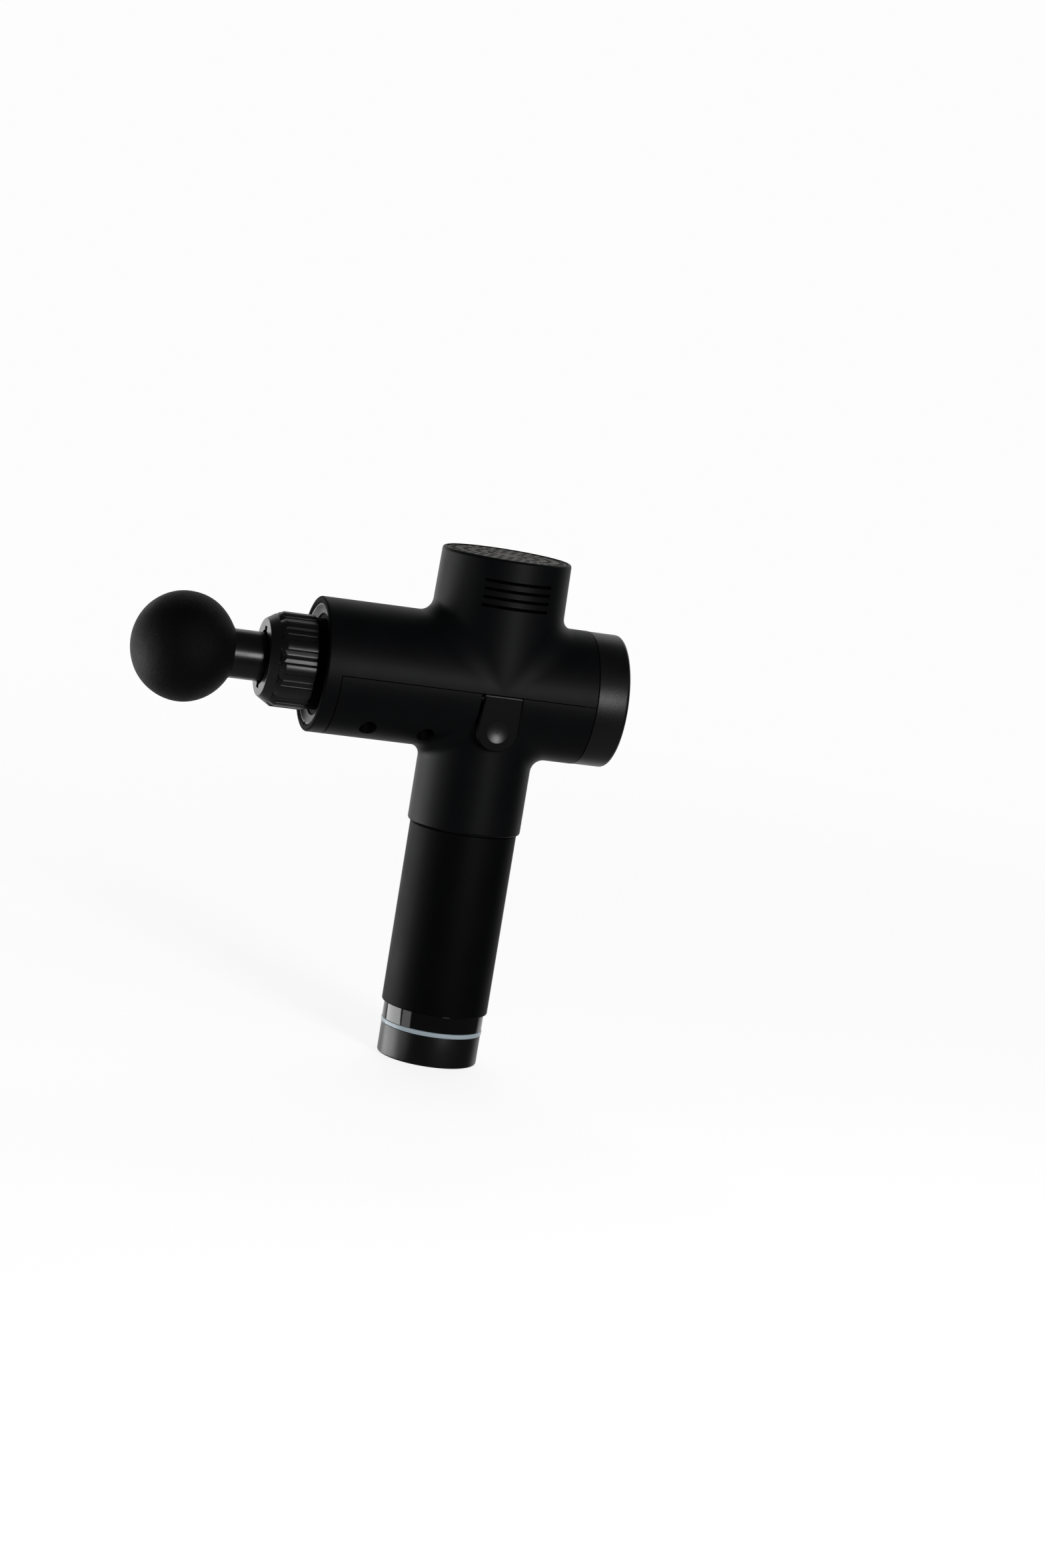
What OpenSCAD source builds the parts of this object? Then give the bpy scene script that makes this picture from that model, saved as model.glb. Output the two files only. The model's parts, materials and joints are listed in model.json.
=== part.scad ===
// Percussion massage gun: T-shaped body, foam ball head, pull-out battery grip.
// Origin at the centre of the base's underside, +Z up the handle,
// the barrel lies along X and the massage head points to -X.

/* [Body] */
// Height of the barrel's axis above the base
barrel_h = 185; // [183:0.5:190]
// Outer radius of the barrel
barrel_r = 32.5; // [32.5:0.1:33.5]
// Wall thickness of the barrel
wall = 2.5; // [2.2:0.1:2.6]
// Front face of the barrel
front_x = -86.6; // [-88:0.1:-86.2]
// Seam between the front band and the lower housing
band_x = -78.9; // [-79.2:0.1:-78.6]
// Seam between the housings and the rear cap
rear_x = 46.9; // [46.5:0.1:48]
// Rear end of the rear cap
end_x = 63; // [62.8:0.1:64]
// Outer radius of the motor dome
dome_r = 31.9; // [31.8:0.1:32.2]
// Top of the motor dome above the barrel's axis
dome_top = 64.2; // [64:0.1:66]
// Outer radius of the neck
neck_r = 27.5; // [27.4:0.1:28]
// Length of the neck below the barrel's axis
neck_len = 69.5; // [69.5:0.1:70]

/* [Vents] */
// Number of rings of holes in the top grille
grille_rings = 4; // [2:1:4]
// Height of one side vent
vent_h = 1.2; // [1:0.1:1.5]
// Half the width of a side vent
vent_w = 16; // [14:0.5:17]
// Height of the lowest side vent above the barrel's axis
vent_z = 41.6; // [41:0.1:42]
// Distance from one side vent to the next
vent_pitch = 3.97; // [3.8:0.01:4.1]

/* [Nozzle collar] */
// Radius of the collar
collar_r = 23.1; // [22.8:0.1:23.3]
// Radius of the collar's flat front face
collar_face_r = 18.6; // [18:0.1:19.5]
// Radius of the hole that the stem passes through
collar_hole_r = 13; // [12.8:0.1:13.5]
// Number of flutes
flutes = 12; // [8:1:16]

/* [Massage head] */
// Radius of the foam ball
ball_r = 25.5; // [24:0.1:26]
// Distance from the handle's axis to the ball's centre
ball_x = 149.3; // [149:0.1:150]
// Radius of the stem
stem_r = 11.8; // [11.2:0.1:12]

/* [Drive] */
// Crank radius, half the stroke
crank = 5; // [4:0.5:5]
// Length of the connecting rod between its eyes
rod_len = 30; // [29.5:0.5:30]
// Radius of the piston rod
piston_r = 8; // [8:0.1:8]
// Radius of the motor shaft
shaft_r = 4; // [4:0.1:4]
// Radius of the rotor bell
bell_r = 26; // [25:0.1:26.5]

/* [Grip] */
// Radius of the soft grip
grip_r = 26; // [25.8:0.1:26.4]
// Bottom of the soft grip below the barrel's axis
grip_end = 159.4; // [159:0.1:160]
// Bottom of the gloss band below the barrel's axis
gloss_end = 167.8; // [167:0.1:168]
// Bottom of the light ring below the barrel's axis
led_end = 170; // [169.8:0.1:170.4]
// Radius of the gloss band and the base cap
base_r = 24.4; // [24.2:0.1:24.6]
// Radius of one battery cell
cell_r = 9.1; // [9:0.1:9.15]
// Length of one battery cell
cell_len = 65; // [64:0.5:65.2]

/* [Release buttons] */
// Half the width of a release button
button_w = 10.1; // [9.5:0.1:10.2]
// Distance of the button's face from the centre plane
button_y = 32.6; // [32.4:0.1:32.8]
// Radius of the thumb dimple's rim
dimple_r = 5.2; // [4.5:0.1:5.5]

/* [Charging] */
// Radius of the charging socket's hole
jack_r = 2.75; // [2.75:0.05:2.75]
// Radius of the charging socket's centre pin
jack_pin_r = 1.05; // [1.05:0.05:1.05]

/* [Hidden] */
$fn = 96;
e = 0.01;
in_r = barrel_r - wall;
dome_in = dome_r - wall;
neck_in = 24.9;
shell_out = 24.6;
shell_in = 22.6;
well_x = [-60, -31.5];
well_y = 20.7;
post_x = 9;
post_y = 24.6;
pin_y = 29.3;
pin_h = -2.5;

soft_black = [0.055, 0.058, 0.065];
satin_black = [0.035, 0.036, 0.04];
gloss_black = [0.015, 0.015, 0.017];
foam_black = [0.03, 0.03, 0.03];
grille_grey = [0.16, 0.145, 0.13];
alloy = [0.72, 0.73, 0.75];
steel = [0.55, 0.56, 0.58];
copper = [0.72, 0.38, 0.2];
brass = [0.8, 0.65, 0.3];
board_green = [0.05, 0.25, 0.12];
nylon = [0.86, 0.85, 0.8];
bronze = [0.6, 0.42, 0.2];
led_white = [0.8, 0.86, 0.9];
cell_blue = [0.1, 0.3, 0.55];

// ---- helpers: all heights h are measured from the barrel's axis ----
module at_axis() { translate([0, 0, barrel_h]) children(); }
module xcyl(r, x0, x1) { translate([x0, 0, barrel_h]) rotate([0, 90, 0]) cylinder(r = r, h = x1 - x0); }
module xtube(r1, r2, x0, x1) { difference() { xcyl(r1, x0, x1); xcyl(r2, x0 - 1, x1 + 1); } }
module vcyl(r, h0, h1, x = 0, y = 0) { translate([x, y, barrel_h + h0]) cylinder(r = r, h = h1 - h0); }
module vtube(r1, r2, h0, h1, x = 0, y = 0) { difference() { vcyl(r1, h0, h1, x, y); vcyl(r2, h0 - 1, h1 + 1, x, y); } }
module block(x0, x1, y0, y1, h0, h1) { translate([x0, y0, barrel_h + h0]) cube([x1 - x0, y1 - y0, h1 - h0]); }
module xspin(points) { translate([0, 0, barrel_h]) rotate([0, 90, 0]) rotate_extrude() polygon(points); }
module vspin(points) { translate([0, 0, barrel_h]) rotate_extrude() polygon(points); }
module both_sides() { children(); mirror([0, 1, 0]) children(); }

// A round-wire helix along X, and a round lead through a list of points.
function unit(v) = v / norm(v);
function ring_at(p, t, r, n, up) = let(a = unit(cross(t, up)), b = cross(a, t)) [for (i = [0:n - 1]) p + r * (cos(360 * i / n) * a + sin(360 * i / n) * b)];
function along(pts, i) = unit(pts[min(i + 1, len(pts) - 1)] - pts[max(i - 1, 0)]);
module swept(pts, r, n, ups) {
    m = len(pts);
    rings = [for (i = [0:m - 1]) each ring_at(pts[i], along(pts, i), r, n, ups[i])];
    sides = [for (i = [0:m - 2]) for (j = [0:n - 1]) each [
        [i * n + j, i * n + (j + 1) % n, (i + 1) * n + (j + 1) % n],
        [i * n + j, (i + 1) * n + (j + 1) % n, (i + 1) * n + j]]];
    first = [for (j = [1:n - 2]) [0, j + 1, j]];
    last = [for (j = [1:n - 2]) [(m - 1) * n, (m - 1) * n + j, (m - 1) * n + j + 1]];
    polyhedron(points = rings, faces = [for (f = concat(sides, first, last)) [f[0], f[2], f[1]]]);
}
module lead(pts, r = 0.7) { at_axis() swept(pts, r, 6, [for (p = pts) [0.13, 1, 0.07]]); }
module coil(x0, x1, r, wire, turns) {
    steps = turns * 14;
    pts = [for (i = [0:steps]) [x0 + (x1 - x0) * i / steps, r * cos(360 * i / 14), r * sin(360 * i / 14)]];
    swept(pts, wire, 5, [for (p = pts) [1, 0, 0]]);
}

// ---- housing ----
module housing_void() {
    xcyl(in_r, front_x - 1, rear_x + 1);
    vcyl(dome_in, 0, dome_top - 4.2);
    vcyl(dome_in - 1.8, dome_top - 5, dome_top - 2.8);
    vcyl(dome_in, dome_top - 2.8, dome_top + 1);
    vcyl(neck_in, -neck_len - 1, 0);
}

module upper_housing() {
    color(soft_black) union() {
        difference() {
            xcyl(barrel_r, front_x, rear_x);
            housing_void();
            block(band_x, rear_x + 1, -40, 40, -40, 0);
        }
        // ledge that the front ring rests on
        xtube(in_r + 0.5, in_r - 2, -83.7, -82.9);
        // screw posts
        both_sides() for (x = well_x) difference() {
            intersection() { vcyl(4.5, 0, 26, x, well_y); xcyl(barrel_r - 1, -80, 0); }
            vcyl(1.5, -1, 12, x, well_y);
        }
        // posts that carry the motor frame
        both_sides() for (s = [-1, 1]) difference() {
            intersection() {
                union() { vcyl(3.2, 4, 13, s * post_x, post_y); block(s * post_x - 1.5, s * post_x + 1.5, post_y, 32, 4, 13); }
                xcyl(barrel_r - 1, -20, 20);
            }
            vcyl(1.3, 5, 14, s * post_x, post_y);
        }
    }
}

// dome over the motor, one with the top of the barrel
module dome_housing() {
    color(soft_black) difference() {
        vcyl(dome_r, 0, dome_top);
        housing_void();
        xcyl(barrel_r, -40, 40);
        for (i = [0:3]) block(-vent_w, vent_w, -40, 40, vent_z + i * vent_pitch - vent_h / 2, vent_z + i * vent_pitch + vent_h / 2);
    }
}

// neck that the battery grip plugs into, one with the bottom of the barrel
module neck_housing() {
    color(soft_black) difference() {
        vcyl(neck_r, -neck_len, 0);
        housing_void();
        xcyl(barrel_r, -40, 40);
    }
}

module lower_housing() {
    color(soft_black) difference() {
        union() {
            difference() {
                xcyl(barrel_r, band_x, rear_x);
                housing_void();
                block(front_x - 2, rear_x + 1, -40, 40, 0, 40);
            }
            // screw posts
            both_sides() for (x = well_x) intersection() { vcyl(5.6, -30, 0, x, well_y); xcyl(barrel_r - 1, -80, 0); }
            // lugs for the button pins
            both_sides() for (s = [-1, 1]) block(min(s * 10.8, s * 14), max(s * 10.8, s * 14), 27.4, 30.6, -5.2, -0.2);
            // tongue that the rear cap is screwed to
            block(38, 53.5, -5, 5, -30.4, -26.4);
            // rails for the control board
            both_sides() block(28, 41, 16, 19, -25.5, -22.2);
        }
        both_sides() for (x = well_x) { vcyl(3.7, -40, -8, x, well_y); vcyl(1.7, -9, 1, x, well_y); }
        // openings behind the release buttons
        both_sides() block(-10.6, 10.6, 24.6, 40, -15, 1);
        both_sides() translate([-14.5, pin_y, barrel_h + pin_h]) rotate([0, 90, 0]) cylinder(r = 1, h = 29);
        vcyl(1.2, -35, -20, 50.2, 0);
        // the tongue's part outside the seam stays clear of the cap's wall
        block(rear_x, 54, -6, 6, -34, -29.3);
    }
}

module top_grille() {
    color(grille_grey) translate([0, 0, barrel_h + dome_top - 2.8]) linear_extrude(2.2) difference() {
        circle(r = dome_in - 0.1);
        for (k = [0:grille_rings - 1]) for (i = [0:11 + 8 * k]) rotate(360 * (i + 0.5 * (k % 2)) / (12 + 8 * k)) translate([8.6 + 5.95 * k, 0]) circle(r = 1.3, $fn = 24);
    }
}

// fine mesh behind the side vents and under the grille
module dust_screen() {
    color(satin_black) union() {
        vtube(dome_in - 0.05, dome_in - 0.4, vent_z - 1.4, vent_z + 3 * vent_pitch + 1.4);
        vcyl(dome_in - 1.85, dome_top - 3.3, dome_top - 2.9);
    }
}

module front_ring() {
    color(satin_black) xspin([[24.6, -83.8], [24.6, -85], [26.5, -84.9], [28.6, -85.4], [29.9, -86.3], [29.9, -83.8]]);
}

module rear_cap() {
    color(satin_black) difference() {
        union() {
            xtube(29.7, 27.6, 42, rear_x + 2);
            xspin([[29.7, rear_x + 0.05], [32.3, rear_x + 0.05], [32.3, end_x - 3.4], [31.3, end_x - 1], [29, end_x], [28.1, end_x],
                [28.1, 60.1], [26.2, 60.1], [26.2, 58.6], [29.7, 58.6]]);
        }
        block(40, 54, -5.4, 5.4, -30.6, -26);
        vcyl(1.7, -40, -25, 50.2, 0);
        vcyl(2.9, -40, -31, 50.2, 0);
    }
}

module display_lens() { color(gloss_black) xcyl(28, 60.2, end_x - 0.6); }

module display_board() {
    color(board_green) union() {
        xcyl(26, 56.4, 58);
        block(53.4, 56.5, -7, 7, -4, 4);
        block(54.6, 56.5, 10, 16, 6, 10);
    }
}

module motor_frame() {
    color(alloy) difference() {
        union() { vcyl(28.3, 13, 16.3); vcyl(9.6, 16, 42); }
        vcyl(8.05, 12, 43);
        both_sides() for (s = [-1, 1]) vcyl(1.7, 12, 17, s * post_x, post_y);
        for (s = [-1, 1]) block(min(s * 19, s * 23), max(s * 19, s * 23), -4, 4, 12, 17);
    }
}

module frame_screws() {
    color(steel) both_sides() for (s = [-1, 1]) {
        vcyl(1.25, 6, 16.4, s * post_x, post_y);
        vcyl(2.5, 16.3, 18.5, s * post_x, post_y);
    }
}

module shaft_bearings() { color(steel) { vtube(8, shaft_r + 0.04, 14, 19); vtube(8, shaft_r + 0.04, 36, 41); } }

module stator_core() {
    color(steel) difference() {
        union() {
            vcyl(13, 24, 38);
            for (i = [0:11]) at_axis() rotate(30 * i) translate([0, 0, 24]) {
                translate([12, -1.5, 0]) cube([9, 3, 14]);
                translate([20.2, -3.8, 0]) cube([1.4, 7.6, 14]);
            }
        }
        vcyl(9.65, 23, 39);
    }
}

module stator_windings() {
    color(copper) for (i = [0:11]) at_axis() rotate(30 * i) translate([13.9, 0, 0]) difference() {
        translate([0, -3.1, 22.4]) cube([5.9, 6.2, 17.2]);
        translate([-1, -1.6, 23.9]) cube([8, 3.2, 14.2]);
    }
}

module guide_block() {
    color(nylon) xspin([[12.5, -87.5], [15.2, -87.5], [15.2, -79.5], [29.8, -79.5], [29.8, -76], [14.6, -76],
        [14.6, -56], [11.05, -56], [11.05, -73.6], [12.5, -73.6]]);
}

module linear_bush() { color(bronze) xtube(11, piston_r + 0.05, -73.6, -56.2); }

module control_board() { color(board_green) block(13, 41, -18.6, 18.6, -22, -20.4); }

module board_parts() {
    color([0.08, 0.08, 0.09]) {
        block(17, 24, -9, -2, -20.3, -19);
        for (i = [0:2]) block(28, 33, -14 + i * 9, -8 + i * 9, -20.3, -18.6);
        vcyl(3.6, -20.3, -9, 20, 9);
        block(35, 40, -6, 6, -20.3, -14.8);
    }
}

module contact_block() {
    color(satin_black) difference() {
        union() {
            block(-11, 11, -10, 10, -46, -38);
            intersection() { block(-25, 25, -6, 6, -41, -38); vcyl(neck_in - 0.05, -42, -37); }
        }
        for (x = [-6, 6]) for (y = [-5, 5]) block(x - 1.6, x + 1.6, y - 1.2, y + 1.2, -47, -40);
    }
}

module spring_contacts() { color(brass) for (x = [-6, 6]) for (y = [-5, 5]) block(x - 1.5, x + 1.5, y - 1.1, y + 1.1, -49.6, -40.1); }

module housing_screws() {
    color(steel) both_sides() for (x = well_x) difference() {
        union() { vcyl(1.45, -8.1, 10, x, well_y); vcyl(3.2, -10.6, -8.05, x, well_y); }
        block(x - 2.2, x + 2.2, well_y - 0.4, well_y + 0.4, -11, -9.4);
        block(x - 0.4, x + 0.4, well_y - 2.2, well_y + 2.2, -11, -9.4);
    }
}

module cap_screw() {
    color(steel) difference() {
        union() { vcyl(1.15, -31.2, -26.8, 50.2, 0); vcyl(2.6, -31.9, -31.05, 50.2, 0); }
        block(48.6, 51.8, -0.3, 0.3, -33, -31.4);
    }
}

module button_pins() {
    color(steel) both_sides() translate([-13.9, pin_y, barrel_h + pin_h]) rotate([0, 90, 0]) cylinder(r = 0.98, h = 27.8);
}

module button_springs() {
    color(steel) both_sides() translate([0, pin_y, barrel_h + pin_h]) coil(-2.8, 2.8, 1.4, 0.2, 5);
}

module motor_wires() {
    color([0.75, 0.12, 0.1]) for (i = [-1:1]) lead([[21, 2.2 * i, 22], [21, 2.2 * i, 14], [21.6, 2.2 * i, 4], [24.5, 3 * i, -4], [29, 5 * i, -10], [30.5, 9 * i - 2, -15], [30.5, 9 * i - 2, -18.5]], 0.7);
}

module battery_wires() {
    color([0.1, 0.1, 0.1]) for (s = [-1, 1]) lead([[7, 4 * s, -37.7], [8, 4 * s, -32], [14, 5 * s, -27.5], [19, 6 * s, -25.5], [22, 6 * s, -24], [22, 6 * s, -22.1]], 0.8);
}

module display_ribbon() {
    color([0.85, 0.85, 0.87]) translate([0, -4, barrel_h]) rotate([90, 0, 0]) mirror([0, 0, 1]) linear_extrude(8)
        polygon([[53.3, -2], [52.8, -2], [50, -4], [46.5, -10], [44, -13], [40.1, -13], [40.1, -14], [44.4, -14], [47.4, -10.6], [50.6, -4.8], [53.3, -2.6]]);
}

// ---- nozzle collar ----
module nozzle_collar() {
    color(gloss_black) difference() {
        xspin([[collar_hole_r, -111.4], [collar_face_r, -111.4], [collar_r, -104], [collar_r, -83.3], [26.3, -83.3], [26.3, -80],
            [15.27, -80], [15.27, -88], [19.6, -88], [19.6, -101], [16, -104.4], [collar_hole_r, -108]]);
        for (i = [0:flutes - 1]) at_axis() rotate([360 * (i + 0.5) / flutes, 0, 0]) translate([-107, 0, collar_r + 6.9]) rotate([0, 90, 0]) cylinder(r = 8, h = 18);
        for (s = [-1, 1]) block(-112, -107, -2.5, 2.5, min(s * 12, s * 14.6), max(s * 12, s * 14.6));
    }
}

// ---- rotor ----
module rotor_bell() {
    color(steel) difference() {
        union() { vtube(bell_r, bell_r - 1.7, 20.5, 48); vcyl(bell_r, 47, 49); vcyl(7, 43.5, 48); }
        vcyl(shaft_r, 40, 50);
        for (i = [0:5]) at_axis() rotate(60 * i) translate([10, -2.2, 46]) cube([11, 4.4, 4]);
    }
}

module rotor_magnets() {
    color([0.3, 0.3, 0.32]) for (i = [0:13]) at_axis() rotate(360 * i / 14) translate([bell_r - 3.4, -2.3, 23]) cube([1.45, 4.6, 16]);
}

module motor_shaft() { color(steel) vcyl(shaft_r, 7.6, 51); }

module crank_wheel() {
    color(steel) difference() {
        vcyl(17, 4, 12);
        vcyl(shaft_r, 7.6, 13);
        vcyl(3, 3, 7, -crank, 0);
        // lightened on the pin's side, so that the other side balances the pin
        for (s = [-1, 1]) vcyl(3.4, 3, 13, -8.6, s * 9.4);
        block(-18, -12.6, -7, 7, 8.5, 13);
    }
}

module crank_pin() { color(steel) vcyl(3, -4, 7, -crank, 0); }
module pin_clip() { color(steel) vtube(4.8, 3, -3.6, -2.9, -crank, 0); }

module connecting_rod() {
    color(alloy) difference() {
        union() {
            vcyl(10, -2.5, 2.5, -crank, 0);
            vcyl(6.5, -2.5, 2.5, -crank - rod_len, 0);
            block(-crank - rod_len + 3, -crank - 8, -4, 4, -2.5, 2.5);
        }
        vcyl(7.02, -3, 3, -crank, 0);
        vcyl(4.22, -3, 3, -crank - rod_len, 0);
        block(-crank - rod_len + 9, -crank - 12.5, -2, 2, 1.2, 3);
        block(-crank - rod_len + 9, -crank - 12.5, -2, 2, -3, -1.2);
    }
}

module big_end_bearing() { color(steel) vtube(7, 3.05, -2.5, 2.5, -crank, 0); }
module small_end_bush() { color(bronze) vtube(4.2, 3.06, -2.5, 2.5, -crank - rod_len, 0); }

// ---- piston ----
module piston() {
    color(alloy) difference() {
        union() {
            xcyl(12, -103, -84);
            xcyl(piston_r, -84.5, -54);
            block(-55, -28.5, -6, 6, -7.5, -3.5);
        }
        xcyl(8.6, -104, -86);
        vcyl(3, -8, -3, -crank - rod_len, 0);
    }
}
module wrist_pin() { color(steel) vcyl(2.98, -7.5, -2.8, -crank - rod_len, 0); }

// ---- massage head ----
module head_stem() {
    color(satin_black) difference() {
        xspin([[0, -138], [stem_r, -138], [stem_r, -103.6], [8.3, -103.6], [8.3, -87.6], [7.5, -86.8], [0, -86.8]]);
        for (x = [-98, -91]) xtube(9, 7.1, x - 0.9, x + 0.9);
    }
}
module foam_ball() {
    color(foam_black) difference() {
        translate([-ball_x, 0, barrel_h]) sphere(r = ball_r);
        xcyl(stem_r + 0.05, -138.2, -115);
    }
}
module stem_o_rings() {
    color([0.02, 0.02, 0.02]) for (x = [-98, -91]) translate([x, 0, barrel_h]) rotate([0, 90, 0]) rotate_extrude() translate([7.83, 0]) circle(r = 0.7);
}

// ---- battery pack ----
module pack_shell() {
    color(satin_black) difference() {
        vtube(shell_out, shell_in, -grip_end, -48);
        both_sides() block(-6, 6, 18, 26, -58, -47);
    }
}
module grip_sleeve() { color(soft_black) vtube(grip_r, shell_out, -grip_end, -neck_len - 0.3); }
module gloss_band() { color(gloss_black) vtube(base_r + 0.1, 22.7, -gloss_end, -grip_end); }
module light_ring() { color(led_white) vtube(base_r + 0.4, 22.7, -led_end, -gloss_end); }

module base_cap() {
    color(satin_black) difference() {
        union() {
            vspin([[0, -barrel_h], [base_r - 1, -barrel_h], [base_r - 0.2, -barrel_h + 1], [base_r, -led_end], [22.5, -led_end], [22.5, -156], [20.6, -156], [20.6, -182], [0, -182]]);
            for (a = [60, 180, 300]) vcyl(3.8, -183, -174, 17.6 * cos(a), 17.6 * sin(a));
            vcyl(6, -183, -181.4, 9, 0);
        }
        for (a = [60, 180, 300]) { vcyl(1.4, -186, -173, 17.6 * cos(a), 17.6 * sin(a)); vcyl(2.8, -186, -183, 17.6 * cos(a), 17.6 * sin(a)); }
        vcyl(4.05, -186, -180, 9, 0);
        block(-13.4, -2.6, -7.4, 7.4, -186, -180);
    }
}

module base_screws() {
    color(steel) for (a = [60, 180, 300]) translate([17.6 * cos(a), 17.6 * sin(a), 0]) difference() {
        union() { vcyl(1.35, -183.2, -172); vcyl(2.6, -184.5, -183.03); }
        block(-1.6, 1.6, -0.3, 0.3, -185, -183.9);
        block(-0.3, 0.3, -1.6, 1.6, -185, -183.9);
    }
}

module light_board() { color([0.9, 0.9, 0.88]) vtube(20.4, 14.5, -170.4, -169); }

module cells() { color(cell_blue) for (x = [-1, 1]) for (y = [-1, 1]) vcyl(cell_r, -137.5, -137.5 + cell_len, 9.25 * x, 9.25 * y); }

module cell_holders() {
    color([0.15, 0.15, 0.16]) for (h = [-140, -76]) difference() {
        vcyl(22.4, h, h + 6.2);
        for (x = [-1, 1]) for (y = [-1, 1]) vcyl(cell_r + 0.03, -137.6, -72.4, 9.25 * x, 9.25 * y);
        vcyl(2, h - 1, h + 8);
        for (x = [-1, 1]) for (y = [-1, 1]) vcyl(5, -141, -69, 9.25 * x, 9.25 * y);
    }
}

module cell_links() {
    color(steel) {
        for (y = [-1, 1]) block(-13, 13, y * 9.25 - 3, y * 9.25 + 3, -69.7, -69.4);
        for (x = [-1, 1]) block(x * 9.25 - 3, x * 9.25 + 3, -13, 13, -140.5, -140.2);
    }
}

module protection_board() { color(board_green) { vcyl(21.8, -66, -64.4); block(-12, -4, 11, 17, -64.4, -62); block(4, 12, 11, 17, -64.4, -62); } }
module contact_tower() {
    color(satin_black) difference() { block(-9.5, 9.5, -8.5, 8.5, -64.3, -51); for (x = [-6, 6]) for (y = [-5, 5]) block(x - 1.6, x + 1.6, y - 1.6, y + 1.6, -54, -50); }
}
module pack_contacts() { color(brass) for (x = [-6, 6]) for (y = [-5, 5]) block(x - 1.5, x + 1.5, y - 1.5, y + 1.5, -53.9, -50.1); }

module charging_jack() {
    color([0.03, 0.03, 0.03]) difference() {
        union() { vcyl(3.95, -184.4, -180, 9, 0); block(4.6, 13.4, -4.4, 4.4, -181.3, -171); }
        vcyl(jack_r, -186, -174, 9, 0);
        vcyl(2.05, -174.5, -173.35, 9, 0);
    }
}
module jack_pin() { color(steel) union() { vcyl(jack_pin_r, -183.4, -173.95, 9, 0); vcyl(2, -174, -173.4, 9, 0); } }

module switch_bezel() {
    color(gloss_black) difference() {
        block(-13.3, -2.7, -7.3, 7.3, -184.4, -173);
        block(-11.5, -4.5, -5.5, 5.5, -186, -176);
        translate([-12.4, 0, barrel_h - 179.6]) rotate([0, 90, 0]) cylinder(r = 0.85, h = 8.8);
    }
}

module power_rocker() {
    color(satin_black) translate([-8, 0, barrel_h - 179.6]) rotate([-7, 0, 0]) difference() {
        union() {
            translate([-3.2, 0, 0]) rotate([90, 0, 90]) linear_extrude(6.4) polygon([[-4.9, -1], [-4.9, -3.6], [0, -2.9], [4.9, -3.6], [4.9, -1], [2, 1.4], [-2, 1.4]]);
            translate([-4.2, 0, 0]) rotate([0, 90, 0]) cylinder(r = 0.8, h = 8.4);
        }
    }
}

// ---- release buttons ----
module button_face() {
    difference() {
        rotate([90, 0, 0]) linear_extrude(2.5) union() {
            translate([-button_w, -17]) square([2 * button_w, 16.5]);
            translate([0, -17]) circle(r = button_w);
        }
        translate([0, -2.5 - 7.6, -17.6]) sphere(r = 9.2);
        translate([-11, -2.9, -0.7]) rotate([45, 0, 0]) cube([22, 1, 1], center = false);
    }
}

module release_button() {
    at_axis() difference() {
        union() {
            translate([0, -button_y + 2.5, 0]) button_face();
            for (s = [-1, 1]) translate([s > 0 ? 3.5 : -10, -pin_y, pin_h]) rotate([0, 90, 0]) cylinder(r = 2.1, h = 6.5);
            // latch arm
            translate([-5, 0, 0]) rotate([90, 0, 90]) linear_extrude(10) polygon([[-30.3, -5.2], [-26.6, -5.6], [-20.4, -19.5], [-20.4, -56.5], [-23.9, -56.5],
                [-23.9, -55], [-22.4, -53.5], [-22.4, -19.5], [-27.6, -9.5], [-30.3, -9.5]]);
        }
        translate([-12, -pin_y, pin_h]) rotate([0, 90, 0]) cylinder(r = 1.04, h = 24);
        translate([-3.5, -pin_y, pin_h]) rotate([0, 90, 0]) cylinder(r = 2.3, h = 7);
    }
}
module release_button_left() { color(satin_black) release_button(); }
module release_button_right() { color(satin_black) mirror([0, 1, 0]) release_button(); }

upper_housing();
lower_housing();
dome_housing();
neck_housing();
top_grille();
dust_screen();
front_ring();
rear_cap();
display_lens();
display_board();
motor_frame();
frame_screws();
shaft_bearings();
stator_core();
stator_windings();
guide_block();
linear_bush();
control_board();
board_parts();
contact_block();
spring_contacts();
union() { housing_screws(); cap_screw(); }
button_pins();
button_springs();
union() { motor_wires(); battery_wires(); }  // power_wires
display_ribbon();
nozzle_collar();
rotor_bell();
rotor_magnets();
motor_shaft();
crank_wheel();
crank_pin();
pin_clip();
connecting_rod();
big_end_bearing();
small_end_bush();
piston();
wrist_pin();
head_stem();
foam_ball();
stem_o_rings();
pack_shell();
grip_sleeve();
gloss_band();
light_ring();
base_cap();
base_screws();
light_board();
cells();
cell_holders();
cell_links();
protection_board();
contact_tower();
pack_contacts();
charging_jack();
jack_pin();
switch_bezel();
power_rocker();
release_button_left();
release_button_right();
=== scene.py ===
import json
import math
import bpy
import bmesh
import numpy as np
from mathutils import Matrix, Vector


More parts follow.
